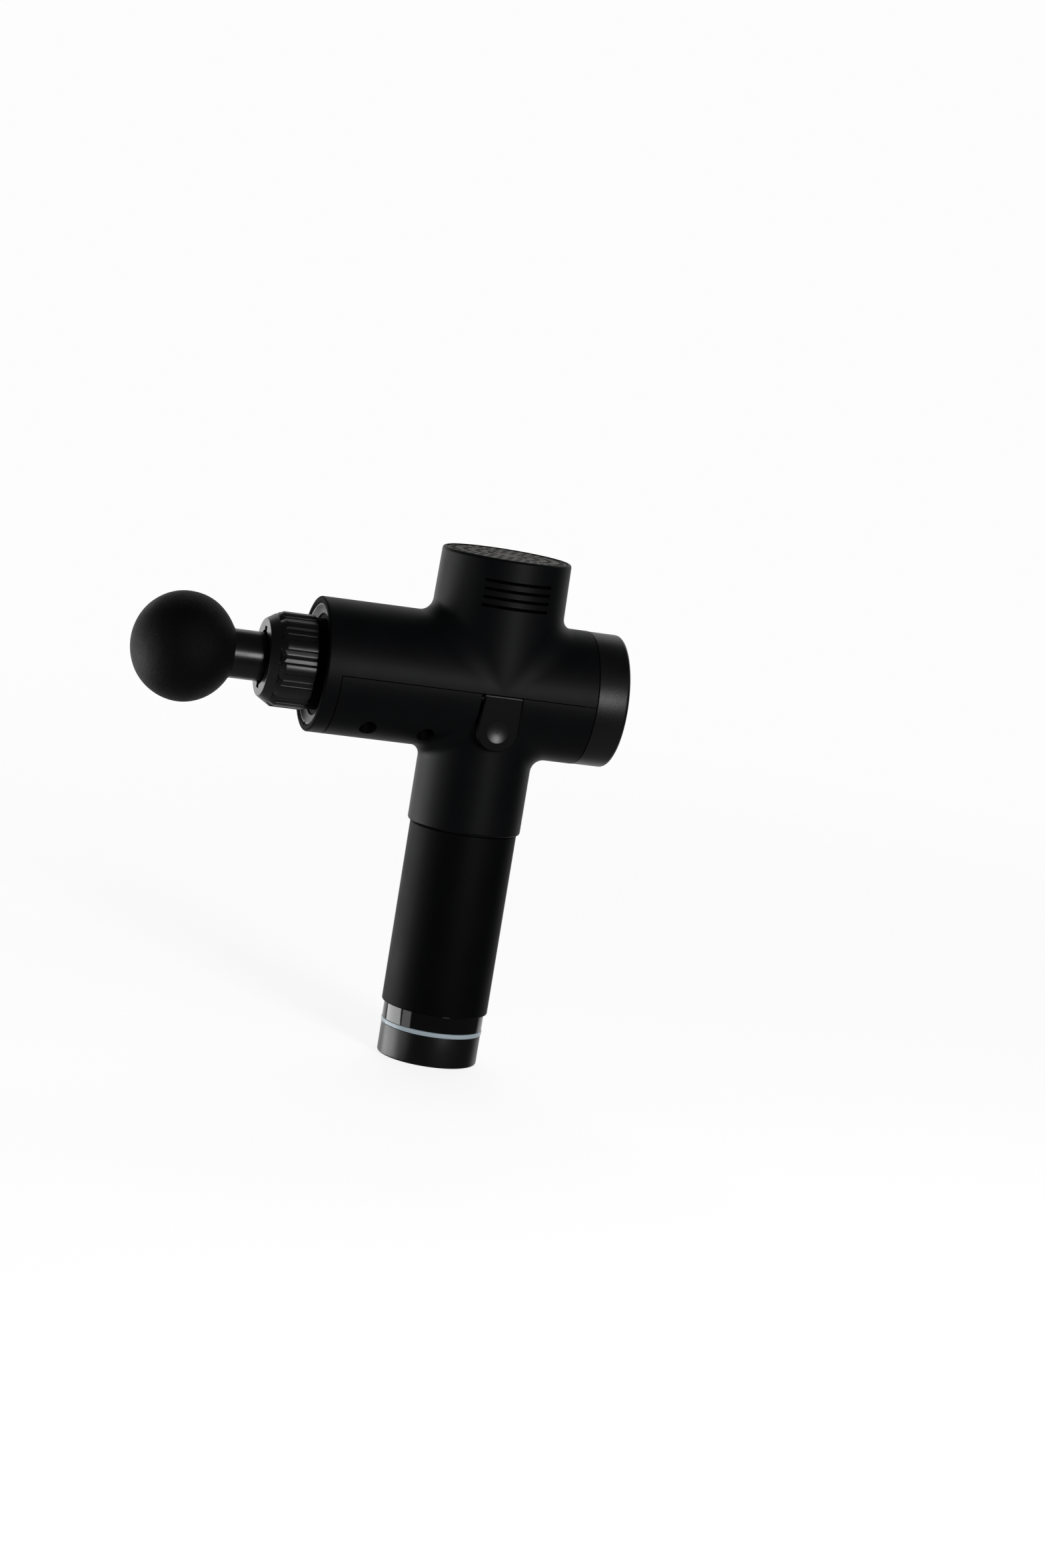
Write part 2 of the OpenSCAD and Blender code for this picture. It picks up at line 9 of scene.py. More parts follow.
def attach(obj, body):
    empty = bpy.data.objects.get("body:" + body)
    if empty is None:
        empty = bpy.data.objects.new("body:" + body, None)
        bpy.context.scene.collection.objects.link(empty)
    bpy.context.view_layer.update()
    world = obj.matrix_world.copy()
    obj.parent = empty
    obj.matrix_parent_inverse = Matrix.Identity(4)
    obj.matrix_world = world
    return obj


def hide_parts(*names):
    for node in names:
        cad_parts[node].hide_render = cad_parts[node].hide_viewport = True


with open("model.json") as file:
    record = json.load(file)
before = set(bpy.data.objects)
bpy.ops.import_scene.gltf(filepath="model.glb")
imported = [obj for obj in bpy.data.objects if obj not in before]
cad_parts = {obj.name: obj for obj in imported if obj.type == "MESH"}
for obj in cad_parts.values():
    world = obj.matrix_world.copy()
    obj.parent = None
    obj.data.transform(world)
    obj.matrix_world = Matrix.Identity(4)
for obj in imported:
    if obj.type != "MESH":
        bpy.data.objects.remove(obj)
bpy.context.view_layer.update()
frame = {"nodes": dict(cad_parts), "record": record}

REC = frame["record"]
NODES = frame["nodes"]
AXIS_Z = 0.185          # height of the barrel's axis, metres
PI = math.pi
scene = bpy.context.scene

# ------------------------------------------------------------------ camera
AZ, EL, ROLL = math.radians(-16.604), math.radians(8.339), math.radians(9.347)
DIST, FPX, U0, V0 = 1787.6, 5559.6, 729.6, 1028.3
back = np.array([math.sin(AZ) * math.cos(EL), -math.cos(AZ) * math.cos(EL), math.sin(EL)])
right0 = np.array([math.cos(AZ), math.sin(AZ), 0.0])
up0 = np.cross(back, right0)
right = math.cos(ROLL) * right0 + math.sin(ROLL) * up0
up = -math.sin(ROLL) * right0 + math.cos(ROLL) * up0
cx = (U0 - 784.0) / FPX * DIST
cy = -(V0 - 1176.0) / FPX * DIST
pos = (DIST * back - cx * right - cy * up) * 0.001 + np.array([0, 0, AXIS_Z])
cam_data = bpy.data.cameras.new("camera")
cam_data.lens = FPX / 2352.0 * 36.0
cam_data.sensor_width = 36.0
cam_data.sensor_fit = "AUTO"
cam_data.clip_start = 0.05
cam_data.clip_end = 60.0
cam = bpy.data.objects.new("camera", cam_data)
scene.collection.objects.link(cam)
M = Matrix.Identity(4)
for i in range(3):
    M[i][0], M[i][1], M[i][2], M[i][3] = right[i], up[i], back[i], pos[i]
cam.matrix_world = M
scene.camera = cam

# ------------------------------------------------------------------ mesh tools (millimetres, heights from the barrel's axis)
def make(name, verts, faces, smooth=35.0, z0=185.0):
    v = np.asarray(verts, float).copy()
    v[:, 2] += z0
    v *= 0.001
    me = bpy.data.meshes.new(name)
    me.from_pydata(v.tolist(), [], [list(f) for f in faces])
    me.validate()
    ob = bpy.data.objects.new(name, me)
    scene.collection.objects.link(ob)
    finish_mesh(ob, smooth)
    return ob


def make_fast(name, v, quads, z0=185.0):
    v = v.copy()
    v[:, 2] += z0
    v *= 0.001
    me = bpy.data.meshes.new(name)
    me.vertices.add(len(v))
    me.vertices.foreach_set("co", v.ravel().astype(np.float32))
    n = len(quads)
    me.loops.add(n * 4)
    me.loops.foreach_set("vertex_index", quads.ravel().astype(np.int32))
    me.polygons.add(n)
    me.polygons.foreach_set("loop_start", (np.arange(n) * 4).astype(np.int32))
    me.update(calc_edges=True)
    me.validate()
    ob = bpy.data.objects.new(name, me)
    scene.collection.objects.link(ob)
    return ob


def finish_mesh(ob, smooth=35.0):
    bm = bmesh.new()
    bm.from_mesh(ob.data)
    bmesh.ops.recalc_face_normals(bm, faces=bm.faces)
    bm.to_mesh(ob.data)
    bm.free()
    ob.data.shade_smooth()
    if smooth is not None:
        ob.data.set_sharp_from_angle(angle=math.radians(smooth))
    return ob


def rounded(points, seg=6):
    """A closed outline whose corners are rounded: points are (a, r, radius)."""
    out = []
    n = len(points)
    for i in range(n):
        p = np.array(points[i][:2], float)
        rad = points[i][2] if len(points[i]) > 2 else 0.0
        if rad <= 0:
            out.append(tuple(p))
            continue
        q = np.array(points[i - 1][:2], float)
        s = np.array(points[(i + 1) % n][:2], float)
        d1 = (q - p) / np.linalg.norm(q - p)
        d2 = (s - p) / np.linalg.norm(s - p)
        ang = math.acos(max(-1, min(1, float(d1 @ d2))))
        if abs(ang - PI) < 1e-3:
            out.append(tuple(p))
            continue
        t = rad / math.tan(ang / 2)
        t = min(t, 0.49 * np.linalg.norm(q - p), 0.49 * np.linalg.norm(s - p))
        r = t * math.tan(ang / 2)
        bis = (d1 + d2) / np.linalg.norm(d1 + d2)
        c = p + bis * (r / math.sin(ang / 2))
        a = p + d1 * t
        b = p + d2 * t
        va, vb = a - c, b - c
        a0 = math.atan2(va[1], va[0])
        a1 = math.atan2(vb[1], vb[0])
        da = (a1 - a0 + PI) % (2 * PI) - PI
        for k in range(seg + 1):
            w = a0 + da * k / seg
            out.append((c[0] + r * math.cos(w), c[1] + r * math.sin(w)))
    return out


def lathe(name, outline, axis="X", n=160, centre=(0.0, 0.0), smooth=35.0, seg=6):
    """Turns a closed outline of (along, radius, corner radius) about X or Z."""
    pr = rounded(outline, seg)
    m = len(pr)
    verts, faces, ring = [], [], []
    for (a, r) in pr:
        if r < 1e-6:
            ring.append([len(verts)] * n)
            verts.append((a, 0, 0) if axis == "X" else (centre[0], centre[1], a))
            continue
        ids = []
        for j in range(n):
            w = 2 * PI * j / n
            ids.append(len(verts))
            if axis == "X":
                verts.append((a, r * math.cos(w), r * math.sin(w)))
            else:
                verts.append((centre[0] + r * math.cos(w), centre[1] + r * math.sin(w), a))
        ring.append(ids)
    for i in range(m):
        A, B = ring[i], ring[(i + 1) % m]
        if A[0] == A[1] and B[0] == B[1]:
            continue
        for j in range(n):
            k = (j + 1) % n
            f = [A[j], A[k], B[k], B[j]]
            g = [f[x] for x in range(4) if f[x] != f[x - 1]]
            if len(g) >= 3:
                faces.append(g)
    return make(name, verts, faces, smooth)


def box(name, x0, x1, y0, y1, z0, z1, bevel=0.0, seg=3):
    v = [(x, y, z) for x in (x0, x1) for y in (y0, y1) for z in (z0, z1)]
    f = [(0, 1, 3, 2), (4, 6, 7, 5), (0, 4, 5, 1), (2, 3, 7, 6), (0, 2, 6, 4), (1, 5, 7, 3)]
    ob = make(name, v, f, None)
    if bevel > 0:
        bevel_mesh(ob, bevel, seg)
    return ob


def bevel_mesh(ob, width_mm, seg=3, angle=30.0):
    bm = bmesh.new()
    bm.from_mesh(ob.data)
    es = [e for e in bm.edges if len(e.link_faces) == 2 and e.calc_face_angle(0) > math.radians(angle)]
    bmesh.ops.bevel(bm, geom=es, offset=width_mm * 0.001, segments=seg, profile=0.5, affect="EDGES", clamp_overlap=True)
    bm.to_mesh(ob.data)
    bm.free()
    finish_mesh(ob)
    return ob


def prism(name, outline, lo, hi, plane="XY", bevel=0.0, seg=2):
    """Extrudes a closed outline. plane XY extrudes along Z, YZ along X, XZ along Y."""
    n = len(outline)
    def at(p, h):
        if plane == "XY":
            return (p[0], p[1], h)
        if plane == "YZ":
            return (h, p[0], p[1])
        return (p[0], h, p[1])
    v = [at(p, lo) for p in outline] + [at(p, hi) for p in outline]
    f = [tuple(range(n))[::-1], tuple(range(n, 2 * n))] + [(i, (i + 1) % n, n + (i + 1) % n, n + i) for i in range(n)]
    ob = make(name, v, f, 35.0)
    if bevel > 0:
        bevel_mesh(ob, bevel, seg)
    return ob


def crisp(ob, axis):
    """Keeps a flat face flat in the shading: the edges round every face square to the axis are sharp."""
    bm = bmesh.new()
    bm.from_mesh(ob.data)
    for e in bm.edges:
        if len(e.link_faces) == 2:
            flat = [abs(f.normal[axis]) > 0.99995 for f in e.link_faces]
            if flat[0] != flat[1]:
                e.smooth = False
    bm.to_mesh(ob.data)
    bm.free()
    return ob


def boolean(ob, cutters, op="DIFFERENCE"):
    for c in cutters:
        m = ob.modifiers.new("b", "BOOLEAN")
        m.operation = op
        m.solver = "MANIFOLD"
        m.object = c
    dg = bpy.context.evaluated_depsgraph_get()
    dg.update()
    me = bpy.data.meshes.new_from_object(ob.evaluated_get(dg))
    ob.modifiers.clear()
    old = ob.data
    ob.data = me
    bpy.data.meshes.remove(old)
    for c in cutters:
        d = c.data
        bpy.data.objects.remove(c)
        bpy.data.meshes.remove(d)
    return ob


def join(name, obs):
    vs, fs, sh = [], [], 0
    for o in obs:
        me = o.data
        co = np.empty(len(me.vertices) * 3, np.float32)
        me.vertices.foreach_get("co", co)
        vs.append(co.reshape(-1, 3))
        fs += [[i + sh for i in p.vertices] for p in me.polygons]
        sh += len(me.vertices)
    for o in obs:
        d = o.data
        bpy.data.objects.remove(o)
        bpy.data.meshes.remove(d)
    me = bpy.data.meshes.new(name)
    me.from_pydata(np.concatenate(vs).tolist(), [], fs)
    me.validate()
    ob = bpy.data.objects.new(name, me)
    scene.collection.objects.link(ob)
    return finish_mesh(ob)


# ------------------------------------------------------------------ blended casing from a distance field
def edge_round(a, b, r):
    """Rounded meeting of two half spaces a < 0 and b < 0."""
    u, v = a + r, b + r
    return np.sqrt(np.maximum(u, 0) ** 2 + np.maximum(v, 0) ** 2) + np.minimum(np.maximum(u, v), 0) - r


def fillet(a, b, cosw, r):
    """Union of two solids with a rolling-ball fillet of radius r; cosw is the cosine between their surface normals."""
    s2 = np.maximum(1 - cosw ** 2, 1e-4)
    da, db = a - r, b - r
    al = -(da - db * cosw) / s2
    be = -(db - da * cosw) / s2
    dist = np.sqrt(np.maximum(da ** 2 + db ** 2 - 2 * da * db * cosw, 0) / s2)
    return np.where((al > 0) & (be > 0), r - dist, np.minimum(a, b))


FRONT, REAR, RB = -86.6, 46.9, 32.5
TOP, NECK, RN = 64.2, -69.5, 27.5


def field_upper(x, y, z):
    rho = np.sqrt(y * y + z * z) + 1e-9
    a = edge_round(rho - RB, FRONT - x, 1.1)
    rd = np.sqrt(x * x + y * y) + 1e-9
    b = edge_round(rd - (32.47 - 0.018 * z), z - TOP, 1.5)
    b = np.maximum(b, -3.0 - z)
    cosw = y * y / (rho * rd)
    side = np.clip(np.abs(y) / 30.0, 0, 1)
    return np.maximum(fillet(a, b, cosw, 6.0 + 12.0 * side ** 2), x - 48.4)


def field_lower(x, y, z):
    rho = np.sqrt(y * y + z * z) + 1e-9
    a = rho - RB
    rd = np.sqrt(x * x + y * y) + 1e-9
    b = edge_round(rd - RN, NECK - z, 1.3)
    b = np.maximum(b, z - 3.0)
    cosw = y * y / (rho * rd)
    side = np.clip(np.abs(y) / 27.0, 0, 1)
    f = fillet(a, b, cosw, 6.3 + 5.0 * side ** 2)
    return np.maximum(np.maximum(f, x - 48.4), np.maximum(-79.6 - x, z - 2.6))


def spaced(lo, hi, step, fine=()):
    pts = [lo]
    while pts[-1] < hi:
        p = pts[-1]
        s = step
        for (c, w, f) in fine:
            d = abs(p - c)
            if d < w * 3:
                s = min(s, f + (step - f) * max(0.0, (d - w) / (2 * w)))
        pts.append(p + s)
    return np.array(pts)


def surface(name, field, xs, ys, zs):
    X, Y, Z = np.meshgrid(xs, ys, zs, indexing="ij")
    V = field(X, Y, Z)
    neg = V < 0
    nx, ny, nz = V.shape
    cnt = np.zeros((nx - 1, ny - 1, nz - 1))
    acc = np.zeros((nx - 1, ny - 1, nz - 1, 3))
    def sl(o, n):
        return slice(o, n - 1 + o)
    def corner(A, o):
        return A[sl(o[0], nx), sl(o[1], ny), sl(o[2], nz)]
    for ax in range(3):
        for o1 in (0, 1):
            for o2 in (0, 1):
                o = [0, 0, 0]
                rest = [k for k in range(3) if k != ax]
                o[rest[0]], o[rest[1]] = o1, o2
                p = list(o)
                p[ax] = 1
                v0, v1 = corner(V, o), corner(V, p)
                hit = (v0 < 0) != (v1 < 0)
                t = np.where(hit, v0 / np.where(hit, v0 - v1, 1), 0)
                for k, G in enumerate((X, Y, Z)):
                    g0, g1 = corner(G, o), corner(G, p)
                    acc[..., k] += np.where(hit, g0 + (g1 - g0) * t, 0)
                cnt += hit
    has = cnt > 0
    idx = -np.ones(has.shape, np.int64)
    idx[has] = np.arange(has.sum())
    P = acc[has] / cnt[has][:, None]
    quads = []
    for ax in range(3):
        lo = [slice(None)] * 3
        hi = [slice(None)] * 3
        lo[ax], hi[ax] = slice(0, -1), slice(1, None)
        s0, s1 = neg[tuple(lo)], neg[tuple(hi)]
        ch = s0 != s1
        b, c = [k for k in range(3) if k != ax]
        I = np.argwhere(ch)
        ok = (I[:, b] > 0) & (I[:, c] > 0) & (I[:, b] < V.shape[b] - 1) & (I[:, c] < V.shape[c] - 1)
        I = I[ok]
        def cell(db, dc):
            J = I.copy()
            J[:, b] += db
            J[:, c] += dc
            return idx[J[:, 0], J[:, 1], J[:, 2]]
        q = np.stack([cell(-1, -1), cell(0, -1), cell(0, 0), cell(-1, 0)], 1)
        flip = s0[I[:, 0], I[:, 1], I[:, 2]] if True else None
        if ax == 1:
            flip = ~flip
        q[~flip] = q[~flip][:, ::-1]
        quads.append(q)
    Q = np.concatenate(quads)
    for _ in range(4):
        e = 0.02
        d = field(P[:, 0], P[:, 1], P[:, 2])
        g = np.stack([field(P[:, 0] + e, P[:, 1], P[:, 2]) - field(P[:, 0] - e, P[:, 1], P[:, 2]),
                      field(P[:, 0], P[:, 1] + e, P[:, 2]) - field(P[:, 0], P[:, 1] - e, P[:, 2]),
                      field(P[:, 0], P[:, 1], P[:, 2] + e) - field(P[:, 0], P[:, 1], P[:, 2] - e)], 1) / (2 * e)
        P = P - g * np.clip(d / np.maximum((g ** 2).sum(1), 0.05), -1, 1)[:, None]
    return make_fast(name, P, Q)


def both(fn):
    return [fn(1), fn(-1)]


WELLS = [(-60.0, 20.7), (-31.5, 20.7)]

# upper casing: barrel top, dome and the whole front band
ys = spaced(-36, 36, 0.9)
up_x = spaced(-90, 49.5, 0.9, [(FRONT, 1.6, 0.25)])
up_z = spaced(-35.2, 68, 0.9, [(TOP, 2.0, 0.3)])
casing_upper = surface("casing_upper", field_upper, up_x, ys, up_z)
boolean(casing_upper, [
    box("c", REAR - 0.15, 60, -40, 40, -40, 80),
    box("c", -79.05, 60, -40, 40, -60, 0.2),
    lathe("c", [(-90, 0), (-90, 32), (-87.2, 30.6), (-86.2, 30.0), (60, 30.0), (60, 0)], "X", 160),
    lathe("c", [(-1, 0), (-1, 29.4), (60, 29.4), (60, 27.6), (61.4, 27.6), (61.4, 29.6), (64.0, 29.6), (64.6, 30.2), (70, 30.2), (70, 0)], "Z", 160),
])
slots = []
for i in range(4):
    h = 41.6 + 3.97 * i
    slots.append(box("c", -16.2, 16.2, -40, 40, h - 0.78, h + 0.70, 0.0))
boolean(casing_upper, slots)
finish_mesh(casing_upper, 30)

# lower casing: barrel bottom and the neck
lo_x = spaced(-80.5, 49.5, 0.9)
lo_z = spaced(-72, 5.0, 0.9, [(NECK, 1.8, 0.25)])
casing_lower = surface("casing_lower", field_lower, lo_x, ys, lo_z)
hollow = lathe("c", [(-90, 0), (-90, 30.0), (60, 30.0), (60, 0)], "X", 160)
boolean(hollow, [lathe("c", [(-40, 0), (-40, 5.2), (6, 5.2), (6, 0)], "Z", 48, (x, s * y)) for (x, y) in WELLS for s in (1, -1)])
boolean(casing_lower, [
    box("c", REAR - 0.15, 60, -40, 40, -80, 20),
    box("c", -95, -78.62, -40, 40, -80, 20),
    box("c", -95, 60, -40, 40, -0.22, 20),
    hollow,
    lathe("c", [(-80, 0), (-80, 25.6), (-69.3, 25.6), (-68.5, 24.9), (1, 24.9), (1, 0)], "Z", 160),
])
boolean(casing_lower, [lathe("c", [(-45, 0), (-45, 4.1), (-8, 4.1), (-8, 0)], "Z", 64, (x, s * y)) for (x, y) in WELLS for s in (1, -1)]
        + [lathe("c", [(-9, 0), (-9, 1.7), (5, 1.7), (5, 0)], "Z", 32, (x, s * y)) for (x, y) in WELLS for s in (1, -1)]
        + [box("c", -10.4, 10.4, min(24.6 * s, 40 * s), max(24.6 * s, 40 * s), -15, 2) for s in (1, -1)])
lips = [box("c", a, b, min(29.3 * s, 29.96 * s), max(29.3 * s, 29.96 * s), -1.3, 1.0) for s in (1, -1) for (a, b) in ((-78.5, -11), (11, 41.8))]
casing_lower = join("casing_lower", [casing_lower] + lips)
finish_mesh(casing_lower, 30)

# ------------------------------------------------------------------ rear cap, display, grille, front ring
rear_shell = lathe("rear_shell", [(42, 27.6), (42, 29.68), (47.15, 29.68), (47.15, 32.36, 0.35), (63, 32.32, 3.1), (63, 28.15, 0.4),
                                  (60.1, 28.15), (60.1, 26.2), (58.6, 26.2), (58.6, 29.68), (48.9, 29.68), (48.9, 27.6)], "X", 200, seg=8)
boolean(rear_shell, [box("c", 40, 54, -5.4, 5.4, -30.6, -26),
                     lathe("c", [(-40, 0), (-40, 2.9), (-31, 2.9), (-31, 1.7), (-25, 1.7), (-25, 0)], "Z", 48, (50.2, 0))])
finish_mesh(rear_shell, 30)
lens = lathe("lens", [(60.2, 0), (60.2, 28.0), (62.35, 28.0, 0.45), (62.35, 0)], "X", 200)


def on_rear(pts):
    """Outline drawn as seen from behind the tool: first coordinate to the viewer's right."""
    return [(p[0], p[1]) for p in pts]


def mark(name, pts, lo=62.3, hi=62.42):
    return prism(name, on_rear(pts), lo, hi, "YZ")


def bar(c, w, h, rot=0.0, r=0.35):
    q = rounded([(-w / 2, -h / 2, r), (w / 2, -h / 2, r), (w / 2, h / 2, r), (-w / 2, h / 2, r)], 4)
    ca, sa = math.cos(rot), math.sin(rot)
    return [(c[0] + x * ca - y * sa, c[1] + x * sa + y * ca) for x, y in q]


def arc_band(c, r0, r1, a0, a1, n=40):
    a = [math.radians(a0 + (a1 - a0) * k / n) for k in range(n + 1)]
    return [(c[0] + r1 * math.cos(t), c[1] + r1 * math.sin(t)) for t in a] + [(c[0] + r0 * math.cos(t), c[1] + r0 * math.sin(t)) for t in reversed(a)]


marks = [mark("m", bar((0, 14.5), 5.6, 1.1)), mark("m", bar((0, 14.5), 1.1, 5.6)), mark("m", bar((0, -14.5), 5.6, 1.1)),
         mark("m", arc_band((0, 0), 2.9, 3.8, 118, 422)), mark("m", bar((0, 3.1), 1.0, 3.6))]
for k in range(5):
    a = math.radians(-32 + 16 * k)
    marks.append(mark("m", bar((20.6 * math.cos(a), 20.6 * math.sin(a)), 1.3, 4.0, a, 0.6)))
for k in range(5):
    a = math.radians(148 + 16 * k)
    marks.append(mark("m", bar((20.6 * math.cos(a), 20.6 * math.sin(a)), 1.3, 4.0, a, 0.6)))
marks.append(mark("m", arc_band((0, 0), 25.1, 25.4, 0, 359.99, 180)))
display_marks = join("display_marks", marks)

grille = lathe("grille", [(61.3, 0), (61.3, 29.3), (63.75, 29.3, 0.5), (63.75, 28.0), (63.9, 27.6, 0.2), (63.9, 0)], "Z", 200)
cut = []
for k in range(4):
    rr = 8.6 + 5.95 * k
    n = 12 + 8 * k
    for j in range(n):
        a = 2 * PI * (j + 0.5 * (k % 2)) / n
        cut.append(([(rr * math.cos(a) + 1.5 * math.cos(t), rr * math.sin(a) + 1.5 * math.sin(t)) for t in 2 * PI * np.arange(28) / 28], 60, 66))
vs, fs = [], []
for q, lo, hi in cut:
    n, b = len(q), len(vs)
    vs += [(x, y, lo) for x, y in q] + [(x, y, hi) for x, y in q]
    fs += [tuple(b + i for i in range(n))[::-1], tuple(b + n + i for i in range(n))]
    fs += [(b + i, b + (i + 1) % n, b + n + (i + 1) % n, b + n + i) for i in range(n)]
boolean(grille, [make("c", vs, fs)])
crisp(finish_mesh(grille, 30), 2)

dish = lathe("dish", [(-83.8, 24.6), (-84.05, 24.6), (-84.35, 25.9), (-84.9, 27.2), (-85.7, 28.3), (-86.05, 28.75, 0.25), (-85.75, 28.95, 0.1), (-85.75, 29.15, 0.1), (-86.25, 29.3, 0.15), (-86.3, 29.88, 0.2), (-83.8, 29.88)], "X", 220, seg=4, smooth=40)
boolean(dish, [box("c", -90, -85.2, -1.1, 1.1, -31, -28.2)])
finish_mesh(dish, 30)

# ------------------------------------------------------------------ nozzle collar: cone in front of a fluted body
def collar_mesh():
    outer = rounded([(-111.4, 13.0), (-111.4, 18.6, 0.5), (-104.2, 23.1, 1.4), (-89.3, 23.1, 0.5), (-88.1, 21.9, 0.3), (-83.3, 21.9), (-83.3, 26.3, 0.4),
                     (-80, 26.3), (-80, 15.27), (-88, 15.27), (-88, 19.6), (-101, 19.6), (-104.4, 16), (-108, 13.0)], 6)
    dense = []
    for i in range(len(outer)):
        p, q = np.array(outer[i]), np.array(outer[(i + 1) % len(outer)])
        k = 1
        if abs(p[0] - q[0]) > 2 and 18 < min(p[1], q[1]) and max(p[1], q[1]) < 24 and max(p[0], q[0]) < -88:
            k = 26
        for t in range(k):
            dense.append(p + (q - p) * t / k)
    dense = np.array(dense)
    n = 432
    th = 2 * PI * np.arange(n) / n
    ph = (th + math.radians(3.5)) % (PI / 6) - PI / 12
    V = np.zeros((len(dense), n, 3))
    outer_end = max(i for i in range(len(dense)) if dense[i][0] < -87.9 and dense[i][1] > 21.5) + 1
    for i, (x, r) in enumerate(dense):
        rr = np.full(n, r)
        if -107 < x < -88.0 and 21.0 < r < 24 and i < outer_end:
            sdeg = np.degrees(np.abs(ph))
            wall_t = np.clip((sdeg - 7.6) / 3.2, 0, 1)
            cutr = 21.95 / np.cos(np.radians(0.15 * np.minimum(sdeg, 8.5))) + 3.0 * wall_t ** 1.5
            crown = rr - (np.radians(15.0 - sdeg) * 23.1) ** 2 / 24.0
            k = 0.22
            h = np.clip(0.5 + 0.5 * (cutr - crown) / k, 0, 1)
            rr = cutr * (1 - h) + crown * h - k * h * (1 - h)
        V[i, :, 0] = x
        V[i, :, 1] = rr * np.sin(th)
        V[i, :, 2] = rr * np.cos(th)
    m = len(dense)
    idx = np.arange(m * n).reshape(m, n)
    A, B = idx, np.roll(idx, -1, 0)
    Q = np.stack([A, np.roll(A, -1, 1), np.roll(B, -1, 1), B], -1).reshape(-1, 4)
    ob = make_fast("collar_piece", V.reshape(-1, 3), Q)
    return finish_mesh(ob, 35)


collar = collar_mesh()
boolean(collar, [box("c", -112.5, -107.2, -2.5, 2.5, 12, 14.9, 0), box("c", -112.5, -107.2, -2.5, 2.5, -14.9, -12, 0)])
crisp(finish_mesh(collar, 35), 0)

# ------------------------------------------------------------------ massage head
stem = lathe("stem", [(-138, 0), (-138, 11.8), (-103.6, 11.8, 0.7), (-103.6, 8.3), (-98.9, 8.3), (-98.9, 7.1), (-97.1, 7.1), (-97.1, 8.3),
                      (-91.9, 8.3), (-91.9, 7.1), (-90.1, 7.1), (-90.1, 8.3), (-87.6, 8.3, 0.2), (-86.8, 7.5), (-86.8, 0)], "X", 128)
ball_pts = [(-149.3 - 25.2 * math.cos(t), 26.3 * math.sin(t)) for t in np.linspace(0, PI, 150)]
keep = [p for p in ball_pts if not (p[0] > -149.3 and p[1] < 13.0)]
xl = keep[-1][0]
ball = lathe("ball", keep + [(xl + 0.55, 12.6), (xl + 0.45, 12.0), (xl - 0.1, 11.86), (-138.1, 11.86), (-138.1, 0)], "X", 260, smooth=50)
v = np.empty(len(ball.data.vertices) * 3, np.float32)
ball.data.vertices.foreach_get("co", v)
v = v.reshape(-1, 3).astype(float)
c = np.array([-0.1493, 0, 0.185])
lift = 0.00045
d = v - c
rng = np.random.default_rng(7)
bump = np.zeros(len(v))
for k in range(60):
    f = rng.normal(size=3)
    f *= (90 + 320 * rng.random()) / np.linalg.norm(f)
    bump += np.sin(v @ f + rng.random() * 6.28)
outside = (np.linalg.norm(d, axis=1) > 0.0235)
v += np.where(outside, 1.0, 0.0)[:, None] * d / np.linalg.norm(d, axis=1)[:, None].clip(1e-6) * (bump / math.sqrt(60) * 0.00006)[:, None]
v[:, 2] += np.where(outside, lift, 0.0)
ball.data.vertices.foreach_set("co", v.astype(np.float32).ravel())
ball.data.update()

# ------------------------------------------------------------------ battery grip
sleeve = lathe("sleeve", [(-159.4, 24.66), (-159.4, 25.95, 0.7), (-69.85, 26.0, 0.7), (-69.85, 24.66)], "Z", 200)
band = lathe("band", [(-167.75, 22.6), (-167.75, 24.5, 0.2), (-159.5, 24.5, 0.2), (-159.5, 22.6)], "Z", 200)
led = lathe("led", [(-169.95, 22.6), (-169.95, 24.78, 0.35), (-167.85, 24.78, 0.35), (-167.85, 22.6)], "Z", 200)
SCREWS = [(17.6 * math.cos(math.radians(a)), 17.6 * math.sin(math.radians(a))) for a in (60, 180, 300)]
foot = lathe("foot", [(-185, 0), (-185, 21.2), (-184.5, 21.5, 0.2), (-184.5, 22.1, 0.2), (-185, 22.4, 0.2), (-185, 24.4, 1.3), (-170.05, 24.42, 0.25), (-170.05, 22.5), (-156, 22.5), (-156, 20.6), (-182, 20.6), (-182, 0)], "Z", 200)
boolean(foot, [lathe("c", [(-186, 0), (-186, 2.8), (-183, 2.8), (-183, 1.4), (-173, 1.4), (-173, 0)], "Z", 40, p) for p in SCREWS]
        + [lathe("c", [(-186, 0), (-186, 4.6), (-184.6, 4.05), (-180, 4.05), (-180, 0)], "Z", 64, (9, 0)),
           box("c", -13.4, -2.6, -7.4, 7.4, -186, -180, 0.0)])
finish_mesh(foot, 30)

